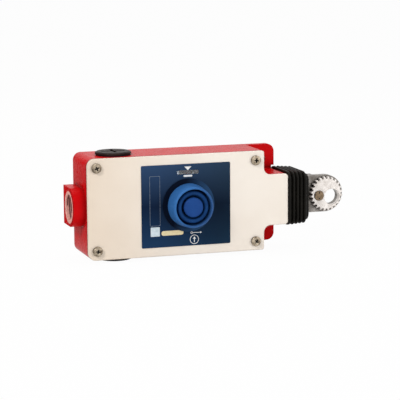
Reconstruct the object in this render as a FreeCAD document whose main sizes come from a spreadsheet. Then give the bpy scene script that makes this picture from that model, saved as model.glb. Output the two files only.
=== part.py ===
import FreeCAD, Part
import math
import os
import Sketcher
from types import SimpleNamespace

# Rope pull switch for guarding a machine. The rope hooks into the eye at the right end and pulls the rod
# along +X. The cover faces -Y, the mounting face lies at Y = 0, and +Z is up.
# Every piece is drawn in the frame of the mounting face: x along the rod, y up the wall, z out of the wall.
# The origin is the middle of the four mounting holes. Lengths are millimetres, angles are degrees.

SIZES = {
    # case
    "case_height": 71.0,
    "case_depth": 38.0,
    "case_left": 79.0,
    "step_right": 50.0,
    "neck_right": 68.2,
    "neck_height": 36.4,
    "flange_right": 70.2,
    "flange_thickness": 5.0,
    "wall_thickness": 3.2,
    "floor_thickness": 3.5,
    "corner_radius": 5.5,
    "flange_radius": 5.5,
    "notch_radius": 5.0,
    "step_radius": 1.6,
    "neck_radius": 2.5,
    "cavity_radius": 2.0,
    "rim_chamfer": 0.5,
    "edge_chamfer": 0.6,
    "fine_chamfer": 0.3,
    "cut_margin": 1.0,
    # mounting holes
    "mount_spacing_along": 122.0,
    "mount_spacing_up": 50.0,
    "mount_hole_radius": 2.75,
    "mount_pad_radius": 6.0,
    "mount_pad_height": 1.5,
    # conduit entries and their blanking plugs
    "entry_radius": 9.25,
    "entry_axis_inset": 16.0,
    "entry_boss_length": 8.5,
    "entry_boss_half": 13.6,
    "entry_boss_back": 16.5,
    "entry_boss_round": 12.6,
    "entry_face_radius": 12.15,
    "entry_face_step": 0.3,
    "entry_land": 3.0,
    "plug_inset": 23.5,
    "plug_radius": 12.7,
    "plug_height": 2.6,
    "plug_shank": 8.0,
    "plug_slot_width": 2.4,
    "plug_slot_depth": 1.3,
    "plug_slot_length": 17.0,
    "plug_bevel": 1.2,
    "plug_seal_inset": 0.5,
    "seal_thickness": 0.8,
    # cover and its screws
    "cover_thickness": 2.0,
    "gasket_thickness": 0.5,
    "gasket_width": 3.2,
    "cover_screw_inset": 6.5,
    "cover_screw_radius": 2.0,
    "cover_screw_head_radius": 3.5,
    "cover_screw_head_height": 2.2,
    "cover_screw_length": 14.0,
    "screw_post_radius": 4.6,
    "cross_width": 1.1,
    "cross_length": 4.6,
    "cross_depth": 1.2,
    # label and tension window
    "label_width": 65.0,
    "label_height": 58.0,
    "label_thickness": 0.4,
    "label_left_of_origin": 8.2,
    "label_radius": 0.8,
    "window_left_of_origin": 6.8,
    "window_up": 23.2,
    "window_width": 16.0,
    "window_height": 2.8,
    "window_lip": 1.3,
    "lens_flange": 0.6,
    # reset pushbutton
    "reset_left_of_origin": 6.5,
    "reset_hole_radius": 11.15,
    "bezel_neck_radius": 11.0,
    "bezel_base_radius": 15.4,
    "bezel_front_radius": 14.4,
    "bezel_height": 12.1,
    "bezel_mouth_radius": 12.9,
    "bezel_below_cover": 5.0,
    "bezel_round": 0.8,
    "boot_seat_depth": 8.0,
    "reset_seal_radius": 18.8,
    "reset_seal_height": 1.0,
    "reset_nut_radius": 14.0,
    "reset_nut_height": 3.5,
    "boot_wall": 0.8,
    "boot_clamp_radius": 12.7,
    "boot_crest_radius": 9.8,
    "boot_crest_half": 0.6,
    "boot_crest_drop": 1.6,
    "boot_crest_wall": 1.28,
    "boot_clamp_height": 1.2,
    "boot_foot_outside": 2.1,
    "boot_foot_inside": 1.3,
    "boot_foot_height": 1.6,
    "boot_grip_gap": 0.3,
    "boot_grip_outside": 0.9,
    "boot_grip_inside": 1.2,
    "boot_grip_low": 2.2,
    "boot_grip_high": 3.4,
    "reset_pad_radius": 6.9,
    "reset_pad_height": 5.2,
    "reset_pad_sink": 0.4,
    "reset_pad_edge": 0.8,
    "reset_pad_crown": 0.15,
    "reset_pad_gap": 0.4,
    "stem_radius": 4.0,
    "stem_chamfer": 1.5,
    "reset_spring_gap": 1.4,
    "reset_spring_wire": 0.5,
    "reset_spring_turns": 3.0,
    # pull rod, its guide and bellows
    "pull_axis_inset": 16.0,
    "pull_travel": 12.0,
    "rod_radius": 5.0,
    "rod_inner_radius": 3.5,
    "rod_step": 42.0,
    "rod_left": 54.0,
    "rod_end_gap": 0.2,
    "rod_chamfer": 0.5,
    "rod_step_taper": 1.0,
    "bush_wall": 8.0,
    "bush_radius": 7.5,
    "bush_flange_radius": 14.0,
    "bush_flange_thickness": 1.6,
    "bush_collar_wall": 1.5,
    "wiper_radius": 8.5,
    "wiper_length": 3.0,
    "wiper_wall": 0.8,
    "wiper_edge": 0.4,
    "wiper_lip_length": 1.0,
    "running_gap": 0.05,
    "bellows_half": 19.4,
    "bellows_core_half": 16.6,
    "bellows_corner_radius": 5.0,
    "bellows_play": 0.3,
    "bellows_end_wall": 1.8,
    "bellows_length": 16.6,
    "bellows_lip": 2.2,
    "bellows_pitch": 2.9,
    "bellows_crest": 1.5,
    "bellows_taper": 0.2,
    "bellows_relief_half": 19.8,
    # pull head and rope eye
    "head_gap": 0.2,
    "head_hub_radius": 8.0,
    "head_hub_length": 5.0,
    "head_half_height": 13.5,
    "head_plate_drop": 2.25,
    "head_plate_thickness": 4.5,
    "head_shoulder_length": 9.5,
    "head_shoulder_drop": 7.0,
    "head_pin_radius": 1.5,
    "head_pin_inset": 0.3,
    "eye_reach": 17.6,
    "eye_radius": 12.5,
    "eye_root_radius": 10.9,
    "eye_thickness": 4.0,
    "eye_tooth_gap": 1.9,
    "eye_hole_radius": 5.8,
    "eye_hole_offset": 4.0,
    "eye_hole_drop": 2.3,
    "eye_chamfer": 0.7,
    "eye_screw_offset": 6.0,
    "eye_screw_drop": 1.0,
    "eye_screw_head_radius": 3.6,
    "eye_screw_head_height": 0.8,
    "eye_screw_radius": 1.5,
    "eye_screw_edge": 0.5,
    "eye_screw_bevel": 0.32,
    "eye_screw_pin_radius": 0.6,
    "eye_screw_pin_offset": 2.1,
    # return spring and its seats
    "spring_radius": 7.5,
    "spring_wire": 0.75,
    "spring_turns": 6.0,
    "rib_left": 17.0,
    "rib_thickness": 3.5,
    "rib_half_width": 10.0,
    "rib_rise": 8.0,
    "rib_slot_play": 0.5,
    "spring_seat_thickness": 1.5,
    "spring_seat_radius": 9.5,
    "spring_seat_play": 0.4,
    "spring_play": 0.1,
    "collar_left": 46.0,
    "collar_thickness": 3.0,
    "collar_pilot_length": 2.0,
    "rod_nut_radius": 5.6,
    "rod_nut_thickness": 3.0,
    "rod_nut_chamfer": 0.4,
    "rod_nut_gap": 0.2,
    # cam and contacts
    "cam_left": 6.0,
    "cam_flange": 3.0,
    "cam_length": 22.0,
    "cam_large_radius": 10.0,
    "cam_ramp": 16.0,
    "cam_slope": 0.25,
    "cam_pin_radius": 1.0,
    "cam_pin_inset": 0.3,
    "block_left": 8.0,
    "block_length": 30.0,
    "block_inner": 15.0,
    "block_outer_wall": 2.0,
    "block_inset": 11.5,
    "block_chamfer": 1.0,
    "plunger_centre": 23.0,
    "plunger_radius": 2.0,
    "plunger_gap": 0.15,
    "bridge_half_length": 9.0,
    "bridge_width": 4.0,
    "bridge_thickness": 1.2,
    "bridge_rise": 1.5,
    "block_inner_wall": 4.0,
    "block_cell_margin": 0.6,
    "contact_spring_radius": 1.5,
    "contact_spring_wire": 0.3,
    "contact_spring_turns": 2.0,
    "contact_spring_pressed": 1.7,
    "contact_spring_play": 0.1,
    "terminal_pitch": 9.0,
    "terminal_screw_radius": 1.0,
    "terminal_head_radius": 1.24,
    "terminal_screw_height": 1.4,
    "terminal_clamp_size": 5.6,
    "terminal_clamp_thickness": 0.8,
    "block_screw_radius": 1.4,
    "block_screw_head_radius": 2.5,
    "block_screw_margin": 0.3,
    # latch
    "latch_axis_up": 14.0,
    "latch_axis_inset": 7.8,
    "latch_pin_radius": 1.5,
    "latch_pin_head": 0.6,
    "latch_width": 6.0,
    "latch_thickness": 1.2,
    "latch_eye_radius": 3.0,
    "latch_play": 0.3,
    "latch_nose_length": 2.2,
    "latch_arm_length": 12.5,
    "latch_hook_depth": 8.0,
    "bracket_thickness": 1.5,
    "bracket_gap": 0.3,
    "bracket_half_width": 4.0,
    # tension pointer
    "pointer_left": 1.5,
    "pointer_thickness": 1.2,
    "pointer_ring_radius": 6.0,
    "pointer_arm_inset": 8.8,
    "pointer_arm_depth": 3.0,
    "pointer_arm_half_width": 2.5,
    "pointer_flag_inset": 0.8,
    "pointer_flag_thickness": 0.9,
    "pointer_tab_left": 14.6,
    "pointer_tab_width": 2.2,
    "pointer_carrier_drop": 1.6,
    "pointer_carrier_gap": 0.4,
    # earth terminal
    "earth_left": 38.0,
    "earth_down": 20.0,
    "earth_post_radius": 4.5,
    "earth_post_out": 10.0,
    "earth_screw_radius": 2.0,
    "earth_head_radius": 3.6,
    "earth_head_height": 2.2,
    "earth_washer_radius": 4.4,
    "earth_washer_thickness": 0.8,
}

# Pan head outline as shares of the head's radius and height
PAN_HEAD = [(1, 0), (1, 0.45), (0.8, 0.88), (0.45, 1), (0, 1)]
BELLOWS_RIBS = 4
EYE_TEETH = 24
# Share by which a tooth gap narrows at its root and widens at its mouth
TOOTH_TAPER = 0.3

doc = FreeCAD.newDocument("rope_pull_switch")
sheet = doc.addObject("Spreadsheet::Sheet", "Sizes")


class Size:
    """A length that carries the spreadsheet expression it comes from."""

    def __init__(self, value, text):
        self.value = value
        self.text = text

    def __add__(self, other):
        other = size(other)
        return Size(self.value + other.value, f"({self.text} + {other.text})")

    def __radd__(self, other):
        return size(other) + self

    def __sub__(self, other):
        other = size(other)
        return Size(self.value - other.value, f"({self.text} - {other.text})")

    def __rsub__(self, other):
        return size(other) - self

    def __mul__(self, other):
        other = size(other)
        return Size(self.value * other.value, f"({self.text} * {other.text})")

    def __rmul__(self, other):
        return size(other) * self

    def __truediv__(self, other):
        other = size(other)
        return Size(self.value / other.value, f"({self.text} / {other.text})")

    def __neg__(self):
        return Size(-self.value, f"(-{self.text})")


def size(value):
    """Let plain numbers join an expression."""
    if isinstance(value, Size):
        return value
    return Size(float(value), f"({value:.9g})")


def fill_sheet():
    """Write each driving size into a named cell and return the sizes by name."""
    names = {}
    for row, (name, value) in enumerate(SIZES.items(), start=1):
        sheet.set(f"A{row}", name)
        sheet.set(f"B{row}", str(value))
        sheet.setAlias(f"B{row}", name)
        names[name] = Size(value, f"Sizes.{name}")
    doc.recompute()
    return SimpleNamespace(**names)


s = fill_sheet()
TURN_UP = FreeCAD.Rotation(FreeCAD.Vector(1, 0, 0), 90)
NORMALS = {"XY_Plane": 1, "XZ_Plane": -1, "YZ_Plane": 1}
pieces = []


def bind(thing, name, value):
    """Tie one property to its expression."""
    thing.setExpression(name, size(value).text)


def new_body(label, x=0, up=0, out=0, many=False):
    """Start a piece at a place given in the frame of the mounting face."""
    body = doc.addObject("PartDesign::Body", label)
    body.Label = label
    body.AllowCompound = many
    body.Placement = FreeCAD.Placement(FreeCAD.Vector(0, 0, 0), TURN_UP)
    bind(body, "Placement.Base.x", x)
    bind(body, "Placement.Base.y", -size(out))
    bind(body, "Placement.Base.z", up)
    pieces.append(body)
    return body


def new_sketch(body, plane="XY_Plane", offset=0):
    """Open a sketch on one of the body's planes, moved along that plane's axis by offset."""
    sketch = body.newObject("Sketcher::SketchObject", "sketch")
    support = [face for face in body.Origin.OriginFeatures if face.Role == plane][0]
    sketch.AttachmentSupport = [(support, "")]
    sketch.MapMode = "FlatFace"
    bind(sketch, "AttachmentOffset.Base.z", size(offset) * NORMALS[plane])
    return sketch


def pin(sketch, geometry, place, x, y):
    """Fix one point of a sketch by its two distances from the sketch's origin."""
    for kind, axis, value in (("DistanceX", -2, size(x)), ("DistanceY", -1, size(y))):
        if value.text == "(0)":
            sketch.addConstraint(Sketcher.Constraint("PointOnObject", geometry, place, axis))
            continue
        number = sketch.addConstraint(Sketcher.Constraint(kind, -1, 1, geometry, place, value.value))
        sketch.setExpression(f"Constraints[{number}]", value.text)


def draw_outline(sketch, points):
    """Draw a closed outline of straight edges through points given as pairs of sizes."""
    spots = [FreeCAD.Vector(size(x).value, size(y).value, 0) for x, y in points]
    edges = []
    for start, end in zip(spots, spots[1:] + spots[:1]):
        edges.append(sketch.addGeometry(Part.LineSegment(start, end), False))
    for edge, follower in zip(edges, edges[1:] + edges[:1]):
        sketch.addConstraint(Sketcher.Constraint("Coincident", edge, 2, follower, 1))
    for edge, (x, y) in zip(edges, points):
        pin(sketch, edge, 1, x, y)
    return sketch


def draw_circle(sketch, x, y, radius):
    """Draw a circle whose centre and radius are sizes."""
    centre = FreeCAD.Vector(size(x).value, size(y).value, 0)
    circle = Part.Circle(centre, FreeCAD.Vector(0, 0, 1), size(radius).value)
    geometry = sketch.addGeometry(circle, False)
    pin(sketch, geometry, 3, x, y)
    number = sketch.addConstraint(Sketcher.Constraint("Radius", geometry, size(radius).value))
    sketch.setExpression(f"Constraints[{number}]", size(radius).text)
    return sketch


def rectangle(low_x, low_y, high_x, high_y):
    """The four corners of an upright rectangle."""
    return [(low_x, low_y), (high_x, low_y), (high_x, high_y), (low_x, high_y)]


def extrude(body, kind, sketch, length, reverse=False, side="One side"):
    """Pad or pocket a sketch by a size."""
    feature = body.newObject(f"PartDesign::{kind}", kind.lower())
    feature.Profile = sketch
    feature.SideType = side
    feature.Reversed = reverse
    bind(feature, "Length", length)
    doc.recompute()
    return feature


def pad(body, sketch, length, reverse=False, side="One side"):
    return extrude(body, "Pad", sketch, length, reverse, side)


def pocket(body, sketch, length, reverse=False, side="One side"):
    """Cut a sketch into the body, and stop if nothing was cut."""
    before = body.Tip.Shape.Volume
    feature = extrude(body, "Pocket", sketch, length, reverse, side)
    if not feature.Shape.Volume < before:
        raise RuntimeError(f"a pocket in {body.Label} cuts nothing")
    return feature


def spin(body, sketch, axis="H_Axis", kind="Revolution"):
    """Turn a profile once round an axis of its own sketch."""
    feature = body.newObject(f"PartDesign::{kind}", kind.lower())
    feature.Profile = sketch
    feature.ReferenceAxis = (sketch, [axis])
    feature.Angle = 360
    doc.recompute()
    return feature


def turned(label, points, x=0, up=0, out=0, axis="H_Axis", plane="XY_Plane"):
    """A piece made on a lathe from one profile."""
    body = new_body(label, x, up, out)
    spin(body, draw_outline(new_sketch(body, plane), points), axis)
    return body


def edges_where(body, test):
    """Names of the edges of the body whose middle, direction and length pass a test."""
    names = []
    for number, edge in enumerate(body.Tip.Shape.Edges, start=1):
        middle = edge.valueAt((edge.FirstParameter + edge.LastParameter) / 2)
        along = edge.tangentAt((edge.FirstParameter + edge.LastParameter) / 2)
        if test(middle, along, edge):
            names.append(f"Edge{number}")
    return names


def dress(body, kind, value, names):
    """Fillet or chamfer named edges of the body."""
    if not names:
        raise RuntimeError(f"no edge to dress in {body.Label}")
    base = body.Tip
    feature = body.newObject(f"PartDesign::{kind}", kind.lower())
    feature.Base = (base, names)
    bind(feature, "Radius" if kind == "Fillet" else "Size", value)
    doc.recompute()
    return feature


def round_uprights(body, corners, radius):
    """Fillet the edges that stand along z over the given corners."""
    spots = [(size(x).value, size(y).value) for x, y in corners]

    def stands_there(middle, along, edge):
        near = any(math.hypot(middle.x - x, middle.y - y) < 0.01 for x, y in spots)
        return near and abs(along.z) > 0.999

    return dress(body, "Fillet", radius, edges_where(body, stands_there))


def ring_edges(body, radius, height, axis="z"):
    """Names of the circular edges of one radius at one height along an axis."""
    target = size(radius).value
    level = size(height).value

    def is_ring(middle, along, edge):
        if not isinstance(edge.Curve, Part.Circle):
            return False
        return abs(edge.Curve.Radius - target) < 0.01 and abs(getattr(middle, axis) - level) < 0.01

    return edges_where(body, is_ring)


def repeat_polar(body, originals, sketch, count):
    """Copy features evenly round the normal of a sketch."""
    pattern = body.newObject("PartDesign::PolarPattern", "ring_pattern")
    pattern.Originals = originals
    pattern.Axis = (sketch, ["N_Axis"])
    pattern.Angle = 360
    pattern.Occurrences = count
    body.Tip = pattern
    doc.recompute()
    return pattern


def repeat_linear(body, originals, sketch, axis, length, count=2):
    """Copy features evenly along an axis of a sketch over a length."""
    pattern = body.newObject("PartDesign::LinearPattern", "row_pattern")
    pattern.Originals = originals
    pattern.Direction = (sketch, [axis])
    bind(pattern, "Length", length)
    pattern.Occurrences = count
    body.Tip = pattern
    doc.recompute()
    return pattern


# Sizes that several pieces share
top = s.case_height / 2
neck_top = s.neck_height / 2
gasket_front = s.case_depth + s.gasket_thickness
cover_front = gasket_front + s.cover_thickness
label_front = cover_front + s.label_thickness
seal_front = label_front + s.reset_seal_height
bezel_front = seal_front + s.bezel_height
pad_front = bezel_front - s.reset_pad_sink
cover_middle = (s.step_right - s.case_left) / 2
screw_spacing_along = s.step_right + s.case_left - 2 * s.cover_screw_inset
screw_spacing_up = s.case_height - 2 * s.cover_screw_inset
entry_axis = s.case_depth - s.entry_axis_inset
plug_left = s.case_left - s.plug_inset
pull_axis = s.case_depth - s.pull_axis_inset
head_left = s.neck_right + s.bellows_length + s.head_gap
plate_back = pull_axis - s.head_plate_drop
eye_centre = head_left + s.eye_reach
block_front = s.case_depth - s.block_inset
cell_inner = s.block_inner + s.block_inner_wall
bridge_up = cell_inner + s.bridge_rise
contact_room = s.cam_slope * s.pull_travel + s.contact_spring_pressed
cell_outer = bridge_up + s.bridge_thickness / 2 + contact_room + 2 * s.contact_spring_play
block_outer = cell_outer + s.block_outer_wall
latch_axis = s.case_depth - s.latch_axis_inset


def plate_outline(inset=0):
    """The stepped outline that the case, the gasket and the cover share, inset all round."""
    left = -s.case_left + inset
    high = top - inset
    step = s.step_right - inset
    neck = neck_top - inset
    end = s.neck_right - inset
    return [(left, -high), (step, -high), (step, -neck), (end, -neck),
            (end, neck), (step, neck), (step, high), (left, high)]


def round_plate(body):
    """Round the corners of the stepped outline."""
    points = plate_outline()
    round_uprights(body, [points[0], points[7]], s.corner_radius)
    round_uprights(body, [points[1], points[6]], s.step_radius)
    round_uprights(body, [points[2], points[5]], s.notch_radius)
    round_uprights(body, [points[3], points[4]], s.neck_radius)


def screw_places():
    """Middle points of the four cover screws."""
    return [(cover_middle + side * screw_spacing_along / 2, rise * screw_spacing_up / 2)
            for side in (-1, 1) for rise in (-1, 1)]


# Case

def add_case_shell(body):
    """Outer form: stepped box with the base flange showing in both notches."""
    pad(body, draw_outline(new_sketch(body), plate_outline()), s.case_depth)
    round_plate(body)
    flange = rectangle(0, -top, s.flange_right, top)
    pad(body, draw_outline(new_sketch(body), flange), s.flange_thickness)
    round_uprights(body, [(s.flange_right, -top), (s.flange_right, top)], s.flange_radius)
    half = s.bellows_relief_half
    relief = rectangle(s.neck_right, -half, s.flange_right + s.cut_margin, half)
    pocket(body, draw_outline(new_sketch(body), relief), s.flange_thickness, reverse=True)


def add_entry_boss(body):
    """Side boss with a round front, flat sides and a machined ring for the cable gland."""
    root = -s.case_left + s.wall_thickness / 2
    low = entry_axis - s.entry_boss_back
    high = entry_axis + s.entry_boss_half
    outline = rectangle(-s.entry_boss_half, low, s.entry_boss_half, high)
    sketch = draw_outline(new_sketch(body, "YZ_Plane", root), outline)
    pad(body, sketch, s.entry_boss_length + s.wall_thickness / 2, reverse=True)
    front = high.value
    half = s.entry_boss_half.value
    left = -s.case_left.value

    def is_front_corner(middle, along, edge):
        near = abs(middle.z - front) < 0.01 and abs(abs(middle.y) - half) < 0.01
        return near and abs(along.x) > 0.999 and middle.x < left + 0.01

    dress(body, "Fillet", s.entry_boss_round, edges_where(body, is_front_corner))
    end = -s.case_left - s.entry_boss_length
    face = draw_circle(new_sketch(body, "YZ_Plane", end), 0, entry_axis, s.entry_face_radius)
    pad(body, face, s.entry_face_step, reverse=True)


def cut_cavity(body):
    """Hollow the case from its rim, and leave a thick wall at the neck for the guide bush."""
    points = plate_outline(s.wall_thickness)
    end = s.neck_right - s.bush_wall
    points[3] = (end, points[3][1])
    points[4] = (end, points[4][1])
    depth = s.case_depth - s.floor_thickness
    pocket(body, draw_outline(new_sketch(body, "XY_Plane", s.case_depth), points), depth)
    corners = [points[0], points[1], points[3], points[4], points[6], points[7]]
    round_uprights(body, corners, s.cavity_radius)


def add_screw_posts(body):
    """Corner posts that take the cover screws."""
    sketch = new_sketch(body)
    for x, y in screw_places():
        draw_circle(sketch, x, y, s.screw_post_radius)
    pad(body, sketch, s.case_depth)
    holes = new_sketch(body, "XY_Plane", s.case_depth)
    for x, y in screw_places():
        draw_circle(holes, x, y, s.cover_screw_radius + s.running_gap)
    pocket(body, holes, s.cover_screw_length)


def add_entry_lands(body):
    """Thick round lands inside the top and bottom walls, bored for the blanking plugs."""
    root = top - s.wall_thickness - s.entry_land
    for side in (-1, 1):
        sketch = new_sketch(body, "XZ_Plane", side * root)
        draw_circle(sketch, -plug_left, entry_axis, s.plug_radius)
        pad(body, sketch, s.entry_land + s.wall_thickness / 2, reverse=side > 0)
    bore = draw_circle(new_sketch(body, "XZ_Plane"), -plug_left, entry_axis, s.entry_radius)
    pocket(body, bore, s.case_height, side="Symmetric")
    side_bore = new_sketch(body, "YZ_Plane", -s.case_left + 2 * s.wall_thickness)
    draw_circle(side_bore, 0, entry_axis, s.entry_radius)
    pocket(body, side_bore, s.entry_boss_length + 3 * s.wall_thickness)


def cut_neck_bore(body):
    """Bore through the neck's end wall for the guide bush."""
    sketch = new_sketch(body, "YZ_Plane", s.neck_right)
    draw_circle(sketch, 0, pull_axis, s.bush_radius)
    pocket(body, sketch, s.bush_wall)


def add_spring_rib(body):
    """Cast rib that the return spring pushes against, slotted so that the rod drops in."""
    outline = rectangle(-s.rib_left, -s.rib_half_width, -s.rib_left + s.rib_thickness, s.rib_half_width)
    pad(body, draw_outline(new_sketch(body), outline), pull_axis + s.rib_rise)
    slot_half = s.rod_inner_radius + s.rib_slot_play
    middle = -s.rib_left + s.rib_thickness / 2
    round_end = new_sketch(body, "YZ_Plane", middle)
    draw_circle(round_end, 0, pull_axis, slot_half)
    pocket(body, round_end, s.rib_thickness, side="Symmetric")
    mouth = rectangle(-slot_half, pull_axis, slot_half, pull_axis + s.rib_rise)
    pocket(body, draw_outline(new_sketch(body, "YZ_Plane", middle), mouth), s.rib_thickness, side="Symmetric")


def add_floor_details(body):
    """Raised pads for the left mounting holes and the post of the earth screw, then all floor holes."""
    along = s.mount_spacing_along / 2
    rise = s.mount_spacing_up / 2
    pads = new_sketch(body)
    for up in (-rise, rise):
        draw_circle(pads, -along, up, s.mount_pad_radius)
    pad(body, pads, s.floor_thickness + s.mount_pad_height)
    post = draw_circle(new_sketch(body), -s.earth_left, -s.earth_down, s.earth_post_radius)
    pad(body, post, s.earth_post_out)
    earth_hole = new_sketch(body, "XY_Plane", s.earth_post_out)
    draw_circle(earth_hole, -s.earth_left, -s.earth_down, s.earth_screw_radius + s.running_gap)
    pocket(body, earth_hole, s.earth_post_out - s.floor_thickness)
    holes = new_sketch(body)
    for x in (-along, along):
        for up in (-rise, rise):
            draw_circle(holes, x, up, s.mount_hole_radius)
    pocket(body, holes, s.case_depth, reverse=True)
    small_holes = new_sketch(body)
    for x, up in block_screw_places():
        draw_circle(small_holes, x, up, s.block_screw_radius + s.running_gap)
    pocket(body, small_holes, s.floor_thickness, reverse=True)


def make_housing():
    body = new_body("housing")
    add_case_shell(body)
    add_entry_boss(body)
    cut_cavity(body)
    add_screw_posts(body)
    add_entry_lands(body)
    cut_neck_bore(body)
    add_spring_rib(body)
    add_floor_details(body)


# Cover group

def make_cover_gasket():
    """Flat rubber frame between the rim and the cover."""
    body = new_body("cover_gasket", out=s.case_depth)
    pad(body, draw_outline(new_sketch(body), plate_outline()), s.gasket_thickness)
    round_plate(body)
    pocket(body, draw_outline(new_sketch(body), plate_outline(s.gasket_width)), s.gasket_thickness,
           reverse=True)


def make_cover_plate():
    """Stepped cover with holes for the screws, the reset pushbutton and the tension window."""
    body = new_body("cover_plate", out=gasket_front)
    pad(body, draw_outline(new_sketch(body), plate_outline()), s.cover_thickness)
    round_plate(body)
    holes = new_sketch(body)
    for x, y in screw_places():
        draw_circle(holes, x, y, s.cover_screw_radius + s.running_gap)
    draw_circle(holes, -s.reset_left_of_origin, 0, s.reset_hole_radius)
    pocket(body, holes, s.cover_thickness, reverse=True)
    cut_window(body, s.cover_thickness)
    front = s.cover_thickness.value

    def is_front_rim(middle, along, edge):
        outer = abs(middle.y) > neck_top.value - 0.01 or abs(middle.x) > s.step_right.value
        return abs(middle.z - front) < 0.001 and outer and not is_round_hole(edge)

    dress(body, "Chamfer", s.rim_chamfer, edges_where(body, is_front_rim))


def is_round_hole(edge):
    """A closed round edge is a hole, not the rim."""
    return isinstance(edge.Curve, Part.Circle) and edge.Closed


def window_outline():
    """Corners of the tension window."""
    half = s.window_width / 2
    rise = s.window_height / 2
    return rectangle(-s.window_left_of_origin - half, s.window_up - rise,
                     -s.window_left_of_origin + half, s.window_up + rise)


def cut_window(body, depth):
    """Cut the tension window through a plate and round its ends."""
    pocket(body, draw_outline(new_sketch(body), window_outline()), depth, reverse=True)
    round_uprights(body, window_outline(), s.window_height / 2 - s.running_gap)


def make_front_label():
    """Blue label plate with the pushbutton hole and the tension window."""
    body = new_body("front_label", -s.label_left_of_origin, 0, cover_front)
    half = s.label_width / 2
    rise = s.label_height / 2
    corners = rectangle(-half, -rise, half, rise)
    pad(body, draw_outline(new_sketch(body), corners), s.label_thickness)
    round_uprights(body, corners, s.label_radius)
    shift = s.label_left_of_origin
    hole = new_sketch(body)
    draw_circle(hole, shift - s.reset_left_of_origin, 0, s.reset_hole_radius)
    pocket(body, hole, s.label_thickness, reverse=True)
    window = [(x + shift, y) for x, y in window_outline()]
    pocket(body, draw_outline(new_sketch(body), window), s.label_thickness, reverse=True)
    round_uprights(body, window, s.window_height / 2 - s.running_gap)


def make_indicator_lens():
    """Clear window: a flange behind the cover and a nose that fills the slot up to the label."""
    body = new_body("indicator_lens", -s.window_left_of_origin, s.window_up, gasket_front)
    half = s.window_width / 2
    rise = s.window_height / 2
    flange = rectangle(-half - s.window_lip, -rise - s.window_lip, half + s.window_lip, rise + s.window_lip)
    pad(body, draw_outline(new_sketch(body), flange), s.lens_flange, reverse=True)
    nose_half = half - s.running_gap
    nose_rise = rise - s.running_gap
    nose = rectangle(-nose_half, -nose_rise, nose_half, nose_rise)
    pad(body, draw_outline(new_sketch(body), nose), label_front - gasket_front)
    round_uprights(body, nose, nose_rise - s.running_gap)


def cut_cross(body, front, length, width, depth):
    """Cross recess in a head whose face lies at z = front."""
    cuts = []
    for along, across in ((length, width), (width, length)):
        bar = rectangle(-along / 2, -across / 2, along / 2, across / 2)
        cuts.append(pocket(body, draw_outline(new_sketch(body, "XY_Plane", front), bar), depth))
    return cuts


def make_cover_screws():
    """Four pan head screws with cross recesses."""
    first = screw_places()[0]
    body = new_body("cover_screws", first[0], first[1], cover_front, many=True)
    shank = s.cover_screw_length - s.cover_thickness - s.gasket_thickness
    head = s.cover_screw_head_radius
    rise = s.cover_screw_head_height
    profile = [(0, -shank - s.cover_thickness), (s.cover_screw_radius, -shank - s.cover_thickness),
               (s.cover_screw_radius, 0)] + [(head * across, rise * along) for across, along in PAN_HEAD]
    sketch = draw_outline(new_sketch(body, "XZ_Plane"), profile)
    turned_screw = spin(body, sketch, "V_Axis")
    cuts = cut_cross(body, rise, s.cross_length, s.cross_width, s.cross_depth)
    grid = draw_circle(new_sketch(body), 0, 0, s.cover_screw_radius)
    grid.Visibility = False
    repeat_grid(body, [turned_screw] + cuts, grid, screw_spacing_along, screw_spacing_up)


def repeat_grid(body, originals, sketch, along, up):
    """Copy features to the four corners of a rectangle."""
    pattern = body.newObject("PartDesign::LinearPattern", "grid_pattern")
    pattern.Originals = originals
    pattern.Direction = (sketch, ["H_Axis"])
    pattern.Direction2 = (sketch, ["V_Axis"])
    bind(pattern, "Length", along)
    bind(pattern, "Length2", up)
    pattern.Occurrences = 2
    pattern.Occurrences2 = 2
    body.Tip = pattern
    doc.recompute()
    return pattern


# Blanking plugs

def make_plug(name, side):
    """Blanking plug with a crossed screwdriver slot in its head, and the rubber washer below it."""
    shank = s.entry_radius - s.running_gap
    profile = [(0, -s.plug_shank), (shank - s.edge_chamfer, -s.plug_shank),
               (shank, -s.plug_shank + s.edge_chamfer), (shank, 0), (shank, s.seal_thickness),
               (s.plug_radius, s.seal_thickness), (s.plug_radius, s.plug_height - s.plug_bevel / 2),
               (s.plug_radius - s.plug_bevel, s.plug_height), (0, s.plug_height)]
    body = new_body(name, -plug_left, side * top, entry_axis)
    turn = FreeCAD.Rotation(FreeCAD.Vector(1, 0, 0), 0 if side > 0 else 180)
    body.Placement = FreeCAD.Placement(FreeCAD.Vector(0, 0, 0), turn)
    spin(body, draw_outline(new_sketch(body, "XZ_Plane"), profile), "V_Axis")
    cut_cross(body, s.plug_height, s.plug_slot_length, s.plug_slot_width, s.plug_slot_depth)
    washer = new_body(f"{name}_seal", -plug_left, side * top, entry_axis)
    washer.Placement = FreeCAD.Placement(FreeCAD.Vector(0, 0, 0), turn)
    sketch = draw_circle(new_sketch(washer), 0, 0, s.plug_radius - s.plug_seal_inset)
    draw_circle(sketch, 0, 0, s.entry_radius)
    pad(washer, sketch, s.seal_thickness)


# Reset pushbutton

def make_reset_seal():
    """Flat dark ring between the bezel and the label."""
    body = new_body("reset_seal", -s.reset_left_of_origin, 0, label_front)
    sketch = draw_circle(new_sketch(body), 0, 0, s.reset_seal_radius)
    draw_circle(sketch, 0, 0, s.reset_hole_radius)
    pad(body, sketch, s.reset_seal_height)


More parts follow.
